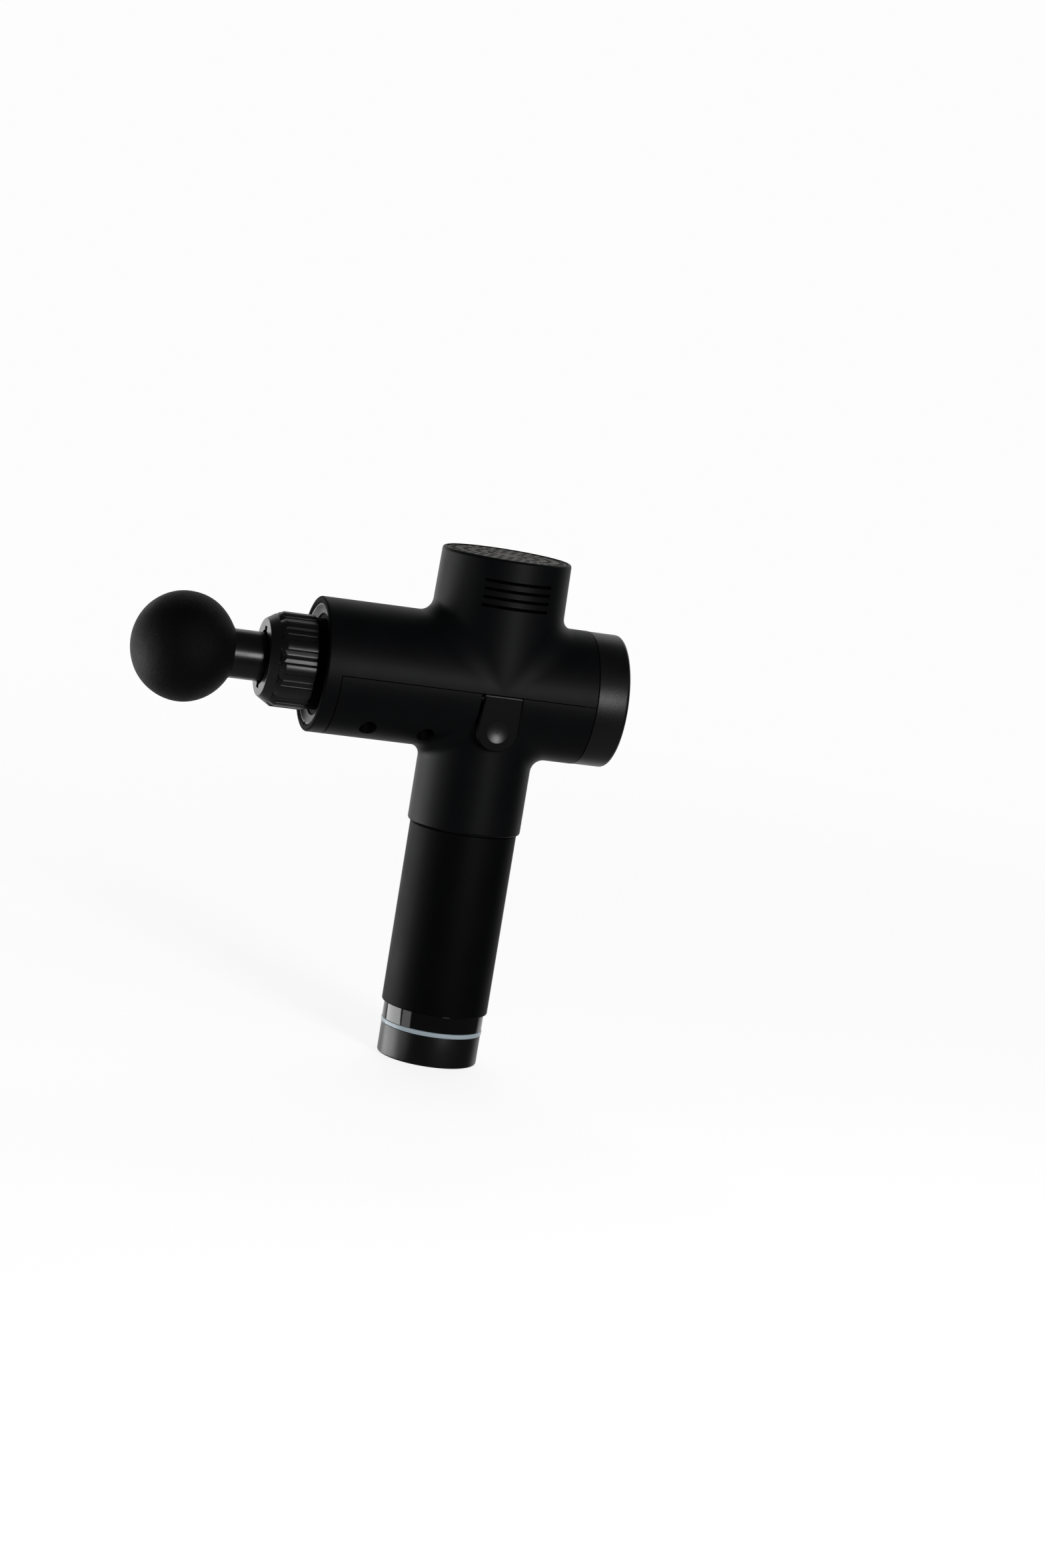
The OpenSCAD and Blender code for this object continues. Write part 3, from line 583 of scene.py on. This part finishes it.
# ------------------------------------------------------------------ release buttons
def button(name, s):
    w, top, cz = 10.12, -0.38, -17.0
    out = rounded([(-w, top, 0.8), (w, top, 0.8), (w, cz)], 5)[:-1]
    out += [(w * math.cos(t), cz + w * math.sin(t)) for t in np.linspace(0, -PI, 49)]
    face = prism("f", out, -32.6, -30.1, "XZ")
    bm = bmesh.new()
    bm.from_mesh(face.data)
    es = [e for e in bm.edges if all(abs(v.co.y + 0.0326) < 1e-5 for v in e.verts)]
    bmesh.ops.bevel(bm, geom=es, offset=0.00055, segments=8, profile=0.5, affect="EDGES", clamp_overlap=True)
    bm.to_mesh(face.data)
    bm.free()
    big = 22.0
    cy = -32.6 - math.sqrt(big ** 2 - 5.2 ** 2)
    pts = [(cy + big * math.cos(t), big * math.sin(t)) for t in np.linspace(0, math.radians(16.0), 22)]
    pts += [(pts[-1][0] - 3.0, pts[-1][1]), (pts[-1][0] - 3.0, 0.0)]
    m = len(pts)
    verts, faces = [], []
    n = 96
    ids = []
    for (a, r) in pts:
        if r < 1e-6:
            ids.append([len(verts)] * n)
            verts.append((0, a, -17.6))
        else:
            ids.append(list(range(len(verts), len(verts) + n)))
            verts += [(r * math.cos(2 * PI * j / n), a, -17.6 + r * math.sin(2 * PI * j / n)) for j in range(n)]
    for i in range(m - 1):
        for j in range(n):
            k = (j + 1) % n
            f = [ids[i][j], ids[i][k], ids[i + 1][k], ids[i + 1][j]]
            g = [f[x] for x in range(4) if f[x] != f[x - 1]]
            if len(g) > 2:
                faces.append(g)
    boolean(face, [make("c", verts, faces)])
    finish_mesh(face, 13)
    arm = prism("a", [(-30.3, -5.2), (-26.6, -5.6), (-20.4, -19.5), (-20.4, -56.5), (-23.9, -56.5), (-23.9, -55), (-22.4, -53.5), (-22.4, -19.5), (-27.6, -9.5), (-30.3, -9.5)], -5, 5, "YZ")
    lugs = []
    for x0 in (3.5, -10):
        lugs.append(lathe("l", [(x0, 1.04), (x0, 2.1), (x0 + 6.5, 2.1), (x0 + 6.5, 1.04)], "X", 40))
        d2 = lugs[-1].data
        d2.transform(Matrix.Translation((0, -0.0293, -0.0025)))
    ob = join(name, [face, arm] + lugs)
    if s < 0:
        ob.data.transform(Matrix.Scale(-1, 4, (0, 1, 0)))
    return crisp(finish_mesh(ob, 13), 1)


button_a = button("thumb_button_left", 1)
button_b = button("thumb_button_right", -1)

# ------------------------------------------------------------------ materials
def material(name, base, rough, metallic=0.0, grain=900.0, bump=0.12, reach=0.00006, var=0.06, mottle=0.12, wear=0.35,
             spec=0.5, coat=0.0, coat_rough=0.1, sheen=0.0, ior=1.5, lines=None, emit=None, emit_strength=0.0,
             transmission=0.0, pores=None, scratches=0.0):
    mt = bpy.data.materials.new(name)
    mt.use_nodes = True
    nt = mt.node_tree
    N, L = nt.nodes, nt.links
    p = N["Principled BSDF"]
    p.inputs["Metallic"].default_value = metallic
    p.inputs["Specular IOR Level"].default_value = spec
    p.inputs["IOR"].default_value = ior
    p.inputs["Coat Weight"].default_value = coat
    p.inputs["Coat Roughness"].default_value = coat_rough
    p.inputs["Sheen Weight"].default_value = sheen
    p.inputs["Transmission Weight"].default_value = transmission
    if emit:
        p.inputs["Emission Color"].default_value = (*emit, 1)
        p.inputs["Emission Strength"].default_value = emit_strength
    tc = N.new("ShaderNodeTexCoord")
    co = tc.outputs["Object"]
    # slow mottling of colour and roughness
    slow = N.new("ShaderNodeTexNoise")
    slow.inputs["Scale"].default_value = 45.0
    slow.inputs["Detail"].default_value = 5.0
    slow.inputs["Roughness"].default_value = 0.6
    L.new(co, slow.inputs["Vector"])
    ramp = N.new("ShaderNodeValToRGB")
    ramp.color_ramp.elements[0].position = 0.3
    ramp.color_ramp.elements[1].position = 0.7
    lo = [max(0.0, b * (1 - mottle)) for b in base]
    hi = [min(1.0, b * (1 + mottle) + 0.0006) for b in base]
    ramp.color_ramp.elements[0].color = (*lo, 1)
    ramp.color_ramp.elements[1].color = (*hi, 1)
    L.new(slow.outputs["Fac"], ramp.inputs["Fac"])
    col = ramp.outputs["Color"]
    if wear > 0:
        geo = N.new("ShaderNodeNewGeometry")
        er = N.new("ShaderNodeMapRange")
        er.inputs["From Min"].default_value = 0.515
        er.inputs["From Max"].default_value = 0.60
        er.inputs["To Min"].default_value = 0.0
        er.inputs["To Max"].default_value = wear
        L.new(geo.outputs["Pointiness"], er.inputs["Value"])
        worn = N.new("ShaderNodeMix")
        worn.data_type = "RGBA"
        L.new(er.outputs["Result"], worn.inputs["Factor"])
        L.new(col, worn.inputs["A"])
        worn.inputs["B"].default_value = (*[min(1, b * 1.9 + 0.008) for b in base], 1)
        col = worn.outputs["Result"]
    L.new(col, p.inputs["Base Color"])
    rr = N.new("ShaderNodeMapRange")
    rr.inputs["From Min"].default_value = 0.3
    rr.inputs["From Max"].default_value = 0.7
    rr.inputs["To Min"].default_value = max(0.02, rough - var)
    rr.inputs["To Max"].default_value = min(1.0, rough + var)
    L.new(slow.outputs["Fac"], rr.inputs["Value"])
    L.new(rr.outputs["Result"], p.inputs["Roughness"])
    # fine moulded grain
    fine = N.new("ShaderNodeTexNoise")
    fine.inputs["Scale"].default_value = grain
    fine.inputs["Detail"].default_value = 3.0
    fine.inputs["Roughness"].default_value = 0.55
    if lines:
        mp = N.new("ShaderNodeMapping")
        mp.inputs["Scale"].default_value = lines
        L.new(co, mp.inputs["Vector"])
        L.new(mp.outputs["Vector"], fine.inputs["Vector"])
    else:
        L.new(co, fine.inputs["Vector"])
    b1 = N.new("ShaderNodeBump")
    b1.inputs["Strength"].default_value = bump
    b1.inputs["Distance"].default_value = reach
    L.new(fine.outputs["Fac"], b1.inputs["Height"])
    out = b1.outputs["Normal"]
    if pores:
        vor = N.new("ShaderNodeTexVoronoi")
        vor.inputs["Scale"].default_value = pores[0]
        vor.inputs["Randomness"].default_value = 1.0
        L.new(co, vor.inputs["Vector"])
        b2 = N.new("ShaderNodeBump")
        b2.inputs["Strength"].default_value = pores[1]
        b2.inputs["Distance"].default_value = pores[2]
        L.new(vor.outputs["Distance"], b2.inputs["Height"])
        L.new(out, b2.inputs["Normal"])
        out = b2.outputs["Normal"]
    if scratches > 0:
        mp = N.new("ShaderNodeMapping")
        mp.inputs["Scale"].default_value = (30.0, 900.0, 300.0)
        mp.inputs["Rotation"].default_value = (0.4, 0.9, 0.3)
        L.new(co, mp.inputs["Vector"])
        sc = N.new("ShaderNodeTexNoise")
        sc.inputs["Scale"].default_value = 1.0
        sc.inputs["Detail"].default_value = 2.0
        L.new(mp.outputs["Vector"], sc.inputs["Vector"])
        b3 = N.new("ShaderNodeBump")
        b3.inputs["Strength"].default_value = scratches
        b3.inputs["Distance"].default_value = 0.00002
        L.new(sc.outputs["Fac"], b3.inputs["Height"])
        L.new(out, b3.inputs["Normal"])
        out = b3.outputs["Normal"]
    L.new(out, p.inputs["Normal"])
    return mt


MATS = {
    "soft_touch_black": material("soft_touch_black", (0.0052, 0.0056, 0.0068), 0.46, grain=2600, bump=0.25, reach=0.00005, spec=0.16, var=0.03, wear=0.0),
    "satin_black": material("satin_black", (0.006, 0.0062, 0.0068), 0.36, grain=3200, bump=0.28, reach=0.00004, spec=0.5, scratches=0.05),
    "gloss_black": material("gloss_black", (0.0022, 0.0022, 0.0026), 0.08, grain=350, bump=0.02, reach=0.00003, var=0.02, spec=0.85, scratches=0.04, wear=0.1),
    "display_glass": material("display_glass", (0.0015, 0.0015, 0.002), 0.05, grain=300, bump=0.01, reach=0.00003, var=0.025, wear=0.0, coat=0.5, coat_rough=0.03),
    "grille": material("grille", (0.155, 0.138, 0.122), 0.55, grain=2800, bump=0.3, reach=0.00004, wear=0.0, spec=0.25),
    "foam": material("foam", (0.0036, 0.0036, 0.0038), 0.58, grain=1300, bump=0.8, reach=0.00030, var=0.08, sheen=0.03, wear=0.0, pores=(2100, 0.45, 0.00020), spec=0.16),
    "alloy": material("alloy", (0.62, 0.63, 0.65), 0.34, metallic=1.0, grain=1800, bump=0.15, scratches=0.1),
    "steel": material("steel", (0.52, 0.53, 0.55), 0.28, metallic=1.0, grain=1200, bump=0.1, scratches=0.15),
    "zinc_screw": material("zinc_screw", (0.10, 0.10, 0.11), 0.33, metallic=1.0, grain=1500, bump=0.15, scratches=0.1),
    "magnet": material("magnet", (0.42, 0.42, 0.45), 0.22, metallic=1.0, grain=900, bump=0.08),
    "copper": material("copper", (0.70, 0.30, 0.14), 0.3, metallic=1.0, grain=1.0, lines=(900, 900, 4200), bump=0.8, reach=0.0002),
    "contact_brass": material("contact_brass", (0.78, 0.58, 0.27), 0.22, metallic=1.0, grain=1500, bump=0.08, scratches=0.1),
    "bronze": material("bronze", (0.50, 0.33, 0.16), 0.42, metallic=1.0, grain=2600, bump=0.4, pores=(2600, 0.2, 0.00005)),
    "board": material("board", (0.015, 0.12, 0.05), 0.3, grain=700, bump=0.12, mottle=0.25, coat=0.3),
    "light_board_white": material("light_board_white", (0.75, 0.75, 0.73), 0.35, grain=700, bump=0.1, coat=0.2),
    "components": material("components", (0.020, 0.020, 0.022), 0.45, grain=2500, bump=0.25),
    "nylon": material("nylon", (0.70, 0.69, 0.64), 0.42, grain=1800, bump=0.2),
    "cell_wrap": material("cell_wrap", (0.02, 0.12, 0.34), 0.22, grain=500, bump=0.1, coat=0.4),
    "wire_red": material("wire_red", (0.5, 0.02, 0.015), 0.4, grain=1500, bump=0.15),
    "ribbon": material("ribbon", (0.68, 0.68, 0.72), 0.28, grain=1.0, lines=(300, 5200, 300), bump=0.4),
    "seal_rubber": material("seal_rubber", (0.010, 0.010, 0.010), 0.5, grain=2000, bump=0.2),
    "light_guide": material("light_guide", (0.66, 0.76, 0.82), 0.26, grain=900, bump=0.05, mottle=0.04, wear=0.0, emit=(0.62, 0.78, 0.9), emit_strength=0.12),
}
M_MARKS = material("display_print", (0.62, 0.64, 0.66), 0.35, grain=1500, bump=0.08, wear=0.0, emit=(0.8, 0.9, 1.0), emit_strength=0.05)
M_STEM = material("stem_satin", (0.006, 0.006, 0.0065), 0.27, grain=1.0, lines=(9000, 260, 260), bump=0.3, reach=0.00004, spec=0.6, wear=0.2, scratches=0.05)
M_COLLAR = material("collar_gloss", (0.0030, 0.0030, 0.0032), 0.33, grain=1500, bump=0.12, reach=0.00003, var=0.03, scratches=0.05, wear=0.0, spec=0.8)
M_DISH = material("dish_gloss", (0.004, 0.004, 0.0044), 0.36, grain=1600, bump=0.05, reach=0.00003, var=0.01, wear=0.0, spec=0.4, ior=1.33)
M_LIP = material("lip_matte", (0.0040, 0.0042, 0.0048), 0.6, grain=2600, bump=0.25, reach=0.00005, var=0.03, wear=0.0, spec=0.1, ior=1.22)
# the dust screen is a real part; its near-black colour is partly painted shade, set so the space behind the grille
# holes reads dark
M_SCREEN_PAINTED_SHADE = material("dust_screen", (0.0008, 0.0008, 0.0008), 0.9, grain=1800, bump=0.5, reach=0.0001, spec=0.04, wear=0.0)
M_CAP = material("cap_satin", (0.0060, 0.0061, 0.0066), 0.35, grain=1900, bump=0.55, reach=0.00009, var=0.05, wear=0.25)
M_BUTTON = material("button_satin", (0.0040, 0.0041, 0.0045), 0.42, grain=3000, bump=0.25, reach=0.00004, wear=0.0, spec=0.09)
M_DIMPLE = material("dimple_satin", (0.0040, 0.0041, 0.0045), 0.31, grain=3000, bump=0.15, reach=0.00003, var=0.03, wear=0.0, spec=0.7)
# light grey painted highlight for black edges where light catches them
M_PAINTED_HIGHLIGHT = material("edge_painted_highlight", (0.22, 0.22, 0.225), 0.3, grain=2500, bump=0.1, reach=0.00003, wear=0.0)
# near-black painted shade, laid on hole walls, vent slots, screw wells, seam faces and the collar flange where shade
# falls
M_PAINTED_SHADE = material("recess_painted_shade", (0.0012, 0.0012, 0.0014), 0.7, grain=2500, bump=0.3, reach=0.00005, wear=0.0, spec=0.08)
M_BASE = material("base_satin", (0.006, 0.006, 0.0065), 0.33, grain=2400, bump=0.4, reach=0.00006, var=0.04, wear=0.1, spec=0.6)
M_SLEEVE = material("sleeve_rubber", (0.0040, 0.0042, 0.0050), 0.52, grain=2400, bump=0.25, reach=0.00005, spec=0.09, var=0.03, wear=0.0)

NODE_SLOT = dict(upper_housing="soft_touch_black", dome_housing="soft_touch_black", neck_housing="soft_touch_black", lower_housing="soft_touch_black", top_grille="grille", dust_screen="components", front_ring="satin_black", rear_cap="satin_black", display_lens="display_glass", display_board="board", motor_frame="alloy", frame_screws="steel", shaft_bearings="steel", stator_core="steel", stator_windings="copper", guide_block="nylon", linear_bush="bronze", control_board="board", board_parts="components", contact_block="components", spring_contacts="contact_brass", housing_screws="zinc_screw", button_pins="steel", button_springs="steel", power_wires="wire_red", display_ribbon="ribbon", nozzle_collar="gloss_black", rotor_bell="steel", rotor_magnets="magnet", motor_shaft="steel", crank_wheel="steel", crank_pin="steel", pin_clip="steel", connecting_rod="alloy", big_end_bearing="steel", small_end_bush="bronze", piston="alloy", wrist_pin="steel", head_stem="satin_black", foam_ball="foam", stem_o_rings="seal_rubber", pack_shell="satin_black", grip_sleeve="soft_touch_black", gloss_band="gloss_black", light_ring="light_guide", base_cap="satin_black", base_screws="zinc_screw", light_board="light_board_white", cells="cell_wrap", cell_holders="components", cell_links="steel", protection_board="board", contact_tower="components", pack_contacts="contact_brass", charging_jack="components", jack_pin="contact_brass", switch_bezel="gloss_black", power_rocker="satin_black", release_button_left="satin_black", release_button_right="satin_black")
for name, ob in NODES.items():
    ob.data.materials.clear()
    # the dust screen gets the near-black material that carries painted shade behind the grille
    ob.data.materials.append(M_SCREEN_PAINTED_SHADE if name == "dust_screen" else MATS[NODE_SLOT[name]])


def place(ob, mat, body, nodes):
    ob.data.materials.clear()
    ob.data.materials.append(mat)
    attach(ob, body)
    if nodes:
        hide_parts(*[q for q in nodes if q in NODES])


place(casing_upper, MATS["soft_touch_black"], "housing", ["upper_housing", "dome_housing"])
place(casing_lower, MATS["soft_touch_black"], "housing", ["lower_housing", "neck_housing"])
place(rear_shell, M_CAP, "housing", ["rear_cap"])
place(lens, MATS["display_glass"], "housing", ["display_lens"])
place(display_marks, M_MARKS, "housing", [])
place(grille, MATS["grille"], "housing", ["top_grille"])
place(dish, M_DISH, "housing", ["front_ring"])
place(collar, M_COLLAR, "collar", ["nozzle_collar"])
place(stem, M_STEM, "massage_head", ["head_stem"])
place(ball, MATS["foam"], "massage_head", ["foam_ball"])
place(sleeve, M_SLEEVE, "battery_pack", ["grip_sleeve"])
place(band, MATS["gloss_black"], "battery_pack", ["gloss_band"])
place(led, MATS["light_guide"], "battery_pack", ["light_ring"])
place(foot, M_BASE, "battery_pack", ["base_cap"])
place(button_a, M_BUTTON, "button_left", ["release_button_left"])
place(button_b, M_BUTTON, "button_right", ["release_button_right"])

def tint(ob, mat, pick):
    """Gives the faces that pick() chooses a second material; centres in mm from the barrel's axis."""
    ob.data.materials.append(mat)
    m = len(ob.data.polygons)
    c = np.empty(m * 3, np.float32)
    nr = np.empty(m * 3, np.float32)
    ob.data.polygons.foreach_get("center", c)
    ob.data.polygons.foreach_get("normal", nr)
    c = c.reshape(-1, 3) * 1000.0 - np.array([0, 0, 185.0])
    sel = pick(c, nr.reshape(-1, 3))
    old = np.zeros(m, np.int32)
    ob.data.polygons.foreach_get("material_index", old)
    ob.data.polygons.foreach_set("material_index", np.where(sel, len(ob.data.materials) - 1, old).astype(np.int32))
    ob.data.update()


# painted shade: the grille's hole walls coloured near black
tint(grille, M_PAINTED_SHADE, lambda c, nr: (np.abs(nr[:, 2]) < 0.3) & (np.hypot(c[:, 0], c[:, 1]) < 28.6))
# painted shade: the walls of the dome's vent slots coloured near black
tint(casing_upper, M_PAINTED_SHADE, lambda c, nr: (c[:, 2] > 40.5) & (c[:, 2] < 54.6) & (np.abs(c[:, 0]) < 16.4) & ((np.abs(nr[:, 2]) > 0.9) | (np.abs(nr[:, 0]) > 0.9)) & (np.abs(c[:, 1]) > 20))
# painted shade: the walls and floors of the screw wells coloured near black
tint(casing_lower, M_PAINTED_SHADE, lambda c, nr: sum(((np.hypot(c[:, 0] - x, np.abs(c[:, 1]) - y) < 4.14) & (((c[:, 0] - x) * nr[:, 0] + (np.abs(c[:, 1]) - y) * np.sign(c[:, 1]) * nr[:, 1] < -0.5) | (np.abs(nr[:, 2]) > 0.95))) for (x, y) in WELLS) > 0)
# painted shade: the lower casing's seam faces at the front band, along the parting line and on the lips coloured near
# black
tint(casing_lower, M_PAINTED_SHADE, lambda c, nr: ((c[:, 0] < -78.5) & (nr[:, 0] < -0.9)) | ((c[:, 2] > -0.35) & (c[:, 2] < 0.0) & (nr[:, 2] > 0.9) & (np.abs(c[:, 1]) > 25)) | ((np.abs(c[:, 2]) < 1.35) & (np.abs(c[:, 1]) < 29.98) & (np.abs(nr[:, 1]) > 0.9)))
# painted shade: the upper casing's seam faces at the front band and the parting line coloured near black
tint(casing_upper, M_PAINTED_SHADE, lambda c, nr: ((c[:, 0] > -79.2) & (c[:, 0] < -78.9) & (nr[:, 0] > 0.9) & (c[:, 2] < 0.3)) | ((c[:, 2] > 0.1) & (c[:, 2] < 0.3) & (nr[:, 2] < -0.9) & (np.abs(c[:, 1]) > 25)))
tint(casing_upper, M_LIP, lambda c, nr: (c[:, 0] < -85.9) & (nr[:, 0] < -0.55) & (np.hypot(c[:, 1], c[:, 2]) > 29.5))
# painted highlight: a light grey ring on the dish's rim ridge
tint(dish, M_PAINTED_HIGHLIGHT, lambda c, nr: (np.hypot(c[:, 1], c[:, 2]) > 28.42) & (np.hypot(c[:, 1], c[:, 2]) < 28.97) & (nr[:, 0] < -0.2))
tint(dish, M_LIP, lambda c, nr: np.hypot(c[:, 1], c[:, 2]) > 29.08)
# painted shade: the collar's flange behind the fluted body coloured near black
tint(collar, M_PAINTED_SHADE, lambda c, nr: c[:, 0] > -88.35)
for b in (button_a, button_b):
    # painted highlight: a light grey line on the button's upward-facing top bevel
    tint(b, M_PAINTED_HIGHLIGHT, lambda c, nr: (c[:, 2] > -1.15) & (np.abs(c[:, 1]) > 32.0) & (nr[:, 2] > 0.25))
    tint(b, M_DIMPLE, lambda c, nr: (np.hypot(c[:, 0], c[:, 2] + 17.6) < 5.3) & (np.abs(c[:, 1]) > 31.4) & (np.abs(nr[:, 1]) < 0.99995))

# ------------------------------------------------------------------ studio: floor, world, soft lights
n = 128
fv = [(0, 0, 0)] + [(4.0 * math.cos(2 * PI * k / n), 4.0 * math.sin(2 * PI * k / n), 0) for k in range(n)]
fm = bpy.data.meshes.new("floor")
fm.from_pydata(fv, [], [(0, 1 + k, 1 + (k + 1) % n) for k in range(n)])
floor = bpy.data.objects.new("floor", fm)
scene.collection.objects.link(floor)
floor.visible_glossy = False
floor.visible_diffuse = False
mf = bpy.data.materials.new("floor")
mf.use_nodes = True
nt = mf.node_tree
pf = nt.nodes["Principled BSDF"]
pf.inputs["Base Color"].default_value = (0.86, 0.86, 0.86, 1)
pf.inputs["Roughness"].default_value = 0.8
pf.inputs["Specular IOR Level"].default_value = 0.1
pf.inputs["Emission Color"].default_value = (1, 1, 1, 1)
pf.inputs["Emission Strength"].default_value = 0.80
tcf = nt.nodes.new("ShaderNodeTexCoord")
ln = nt.nodes.new("ShaderNodeVectorMath")
ln.operation = "LENGTH"
nt.links.new(tcf.outputs["Object"], ln.inputs[0])
mr = nt.nodes.new("ShaderNodeMapRange")
mr.inputs["From Min"].default_value = 0.25
mr.inputs["From Max"].default_value = 1.3
nt.links.new(ln.outputs["Value"], mr.inputs["Value"])
tr = nt.nodes.new("ShaderNodeBsdfTransparent")
mx = nt.nodes.new("ShaderNodeMixShader")
nt.links.new(mr.outputs["Result"], mx.inputs["Fac"])
nt.links.new(pf.outputs["BSDF"], mx.inputs[1])
nt.links.new(tr.outputs["BSDF"], mx.inputs[2])
nt.links.new(mx.outputs["Shader"], nt.nodes["Material Output"].inputs["Surface"])
floor.data.materials.append(mf)

# directions round the handle are measured from the photograph's viewing side, to the left
VIEW_DIR = np.array([math.sin(AZ), -math.cos(AZ), 0.0])
LEFT_DIR = -right0


def towards(left_deg, up_deg=0.0):
    a, e = math.radians(left_deg), math.radians(up_deg)
    h = math.cos(a) * VIEW_DIR + math.sin(a) * LEFT_DIR
    return h * math.cos(e) + np.array([0, 0, math.sin(e)])


def panel(name, left_deg, up_deg, dist, w, h, radiance, target=(0, 0, 0.15)):
    d = bpy.data.lights.new(name, "AREA")
    d.shape = "RECTANGLE"
    d.size, d.size_y = w, h
    d.energy = radiance * math.pi * w * h
    ob = bpy.data.objects.new(name, d)
    scene.collection.objects.link(ob)
    v = towards(left_deg, up_deg)
    ob.location = Vector(target) + Vector(v) * dist
    ob.rotation_euler = Vector(v).to_track_quat("Z", "Y").to_euler()
    ob.visible_camera = False
    return ob


world = bpy.data.worlds.new("studio")
scene.world = world
world.use_nodes = True
wt = world.node_tree
bg = wt.nodes["Background"]
wc = wt.nodes.new("ShaderNodeTexCoord")
dot = wt.nodes.new("ShaderNodeVectorMath")
dot.operation = "DOT_PRODUCT"
dot.inputs[1].default_value = tuple(-VIEW_DIR)
wt.links.new(wc.outputs["Generated"], dot.inputs[0])
gr = wt.nodes.new("ShaderNodeMapRange")
gr.interpolation_type = "SMOOTHSTEP"
gr.inputs["From Min"].default_value = 0.60
gr.inputs["From Max"].default_value = 0.78
gr.inputs["To Min"].default_value = 0.045
gr.inputs["To Max"].default_value = 0.70
wt.links.new(dot.outputs["Value"], gr.inputs["Value"])
lp = wt.nodes.new("ShaderNodeLightPath")
mxw = wt.nodes.new("ShaderNodeMix")
mxw.data_type = "FLOAT"
wt.links.new(lp.outputs["Is Camera Ray"], mxw.inputs["Factor"])
sep = wt.nodes.new("ShaderNodeSeparateXYZ")
wt.links.new(wc.outputs["Generated"], sep.inputs[0])
low = wt.nodes.new("ShaderNodeMapRange")
low.interpolation_type = "SMOOTHSTEP"
low.inputs["From Min"].default_value = -0.25
low.inputs["From Max"].default_value = -0.85
low.inputs["To Min"].default_value = 0.0
low.inputs["To Max"].default_value = 0.11
wt.links.new(sep.outputs["Z"], low.inputs["Value"])
both_w = wt.nodes.new("ShaderNodeMath")
both_w.operation = "ADD"
wt.links.new(gr.outputs["Result"], both_w.inputs[0])
wt.links.new(low.outputs["Result"], both_w.inputs[1])
wt.links.new(both_w.outputs["Value"], mxw.inputs["A"])
mxw.inputs["B"].default_value = 0.98
wt.links.new(mxw.outputs["Result"], bg.inputs["Strength"])
bg.inputs["Color"].default_value = (1, 1, 1, 1)

panel("left_panel", 102, -16, 1.15, 1.05, 0.75, 3.6)
panel("left_fill", 60, -10, 1.3, 0.5, 0.7, 1.1)
panel("rear_left", 147, 0, 1.6, 0.5, 0.8, 0.9)
panel("front_soft", -33, 10, 1.5, 0.42, 0.42, 9.5)
panel("right_fill", -62, 26, 1.4, 0.8, 0.9, 0.22)

scene.view_settings.view_transform = "Standard"
scene.view_settings.look = "None"
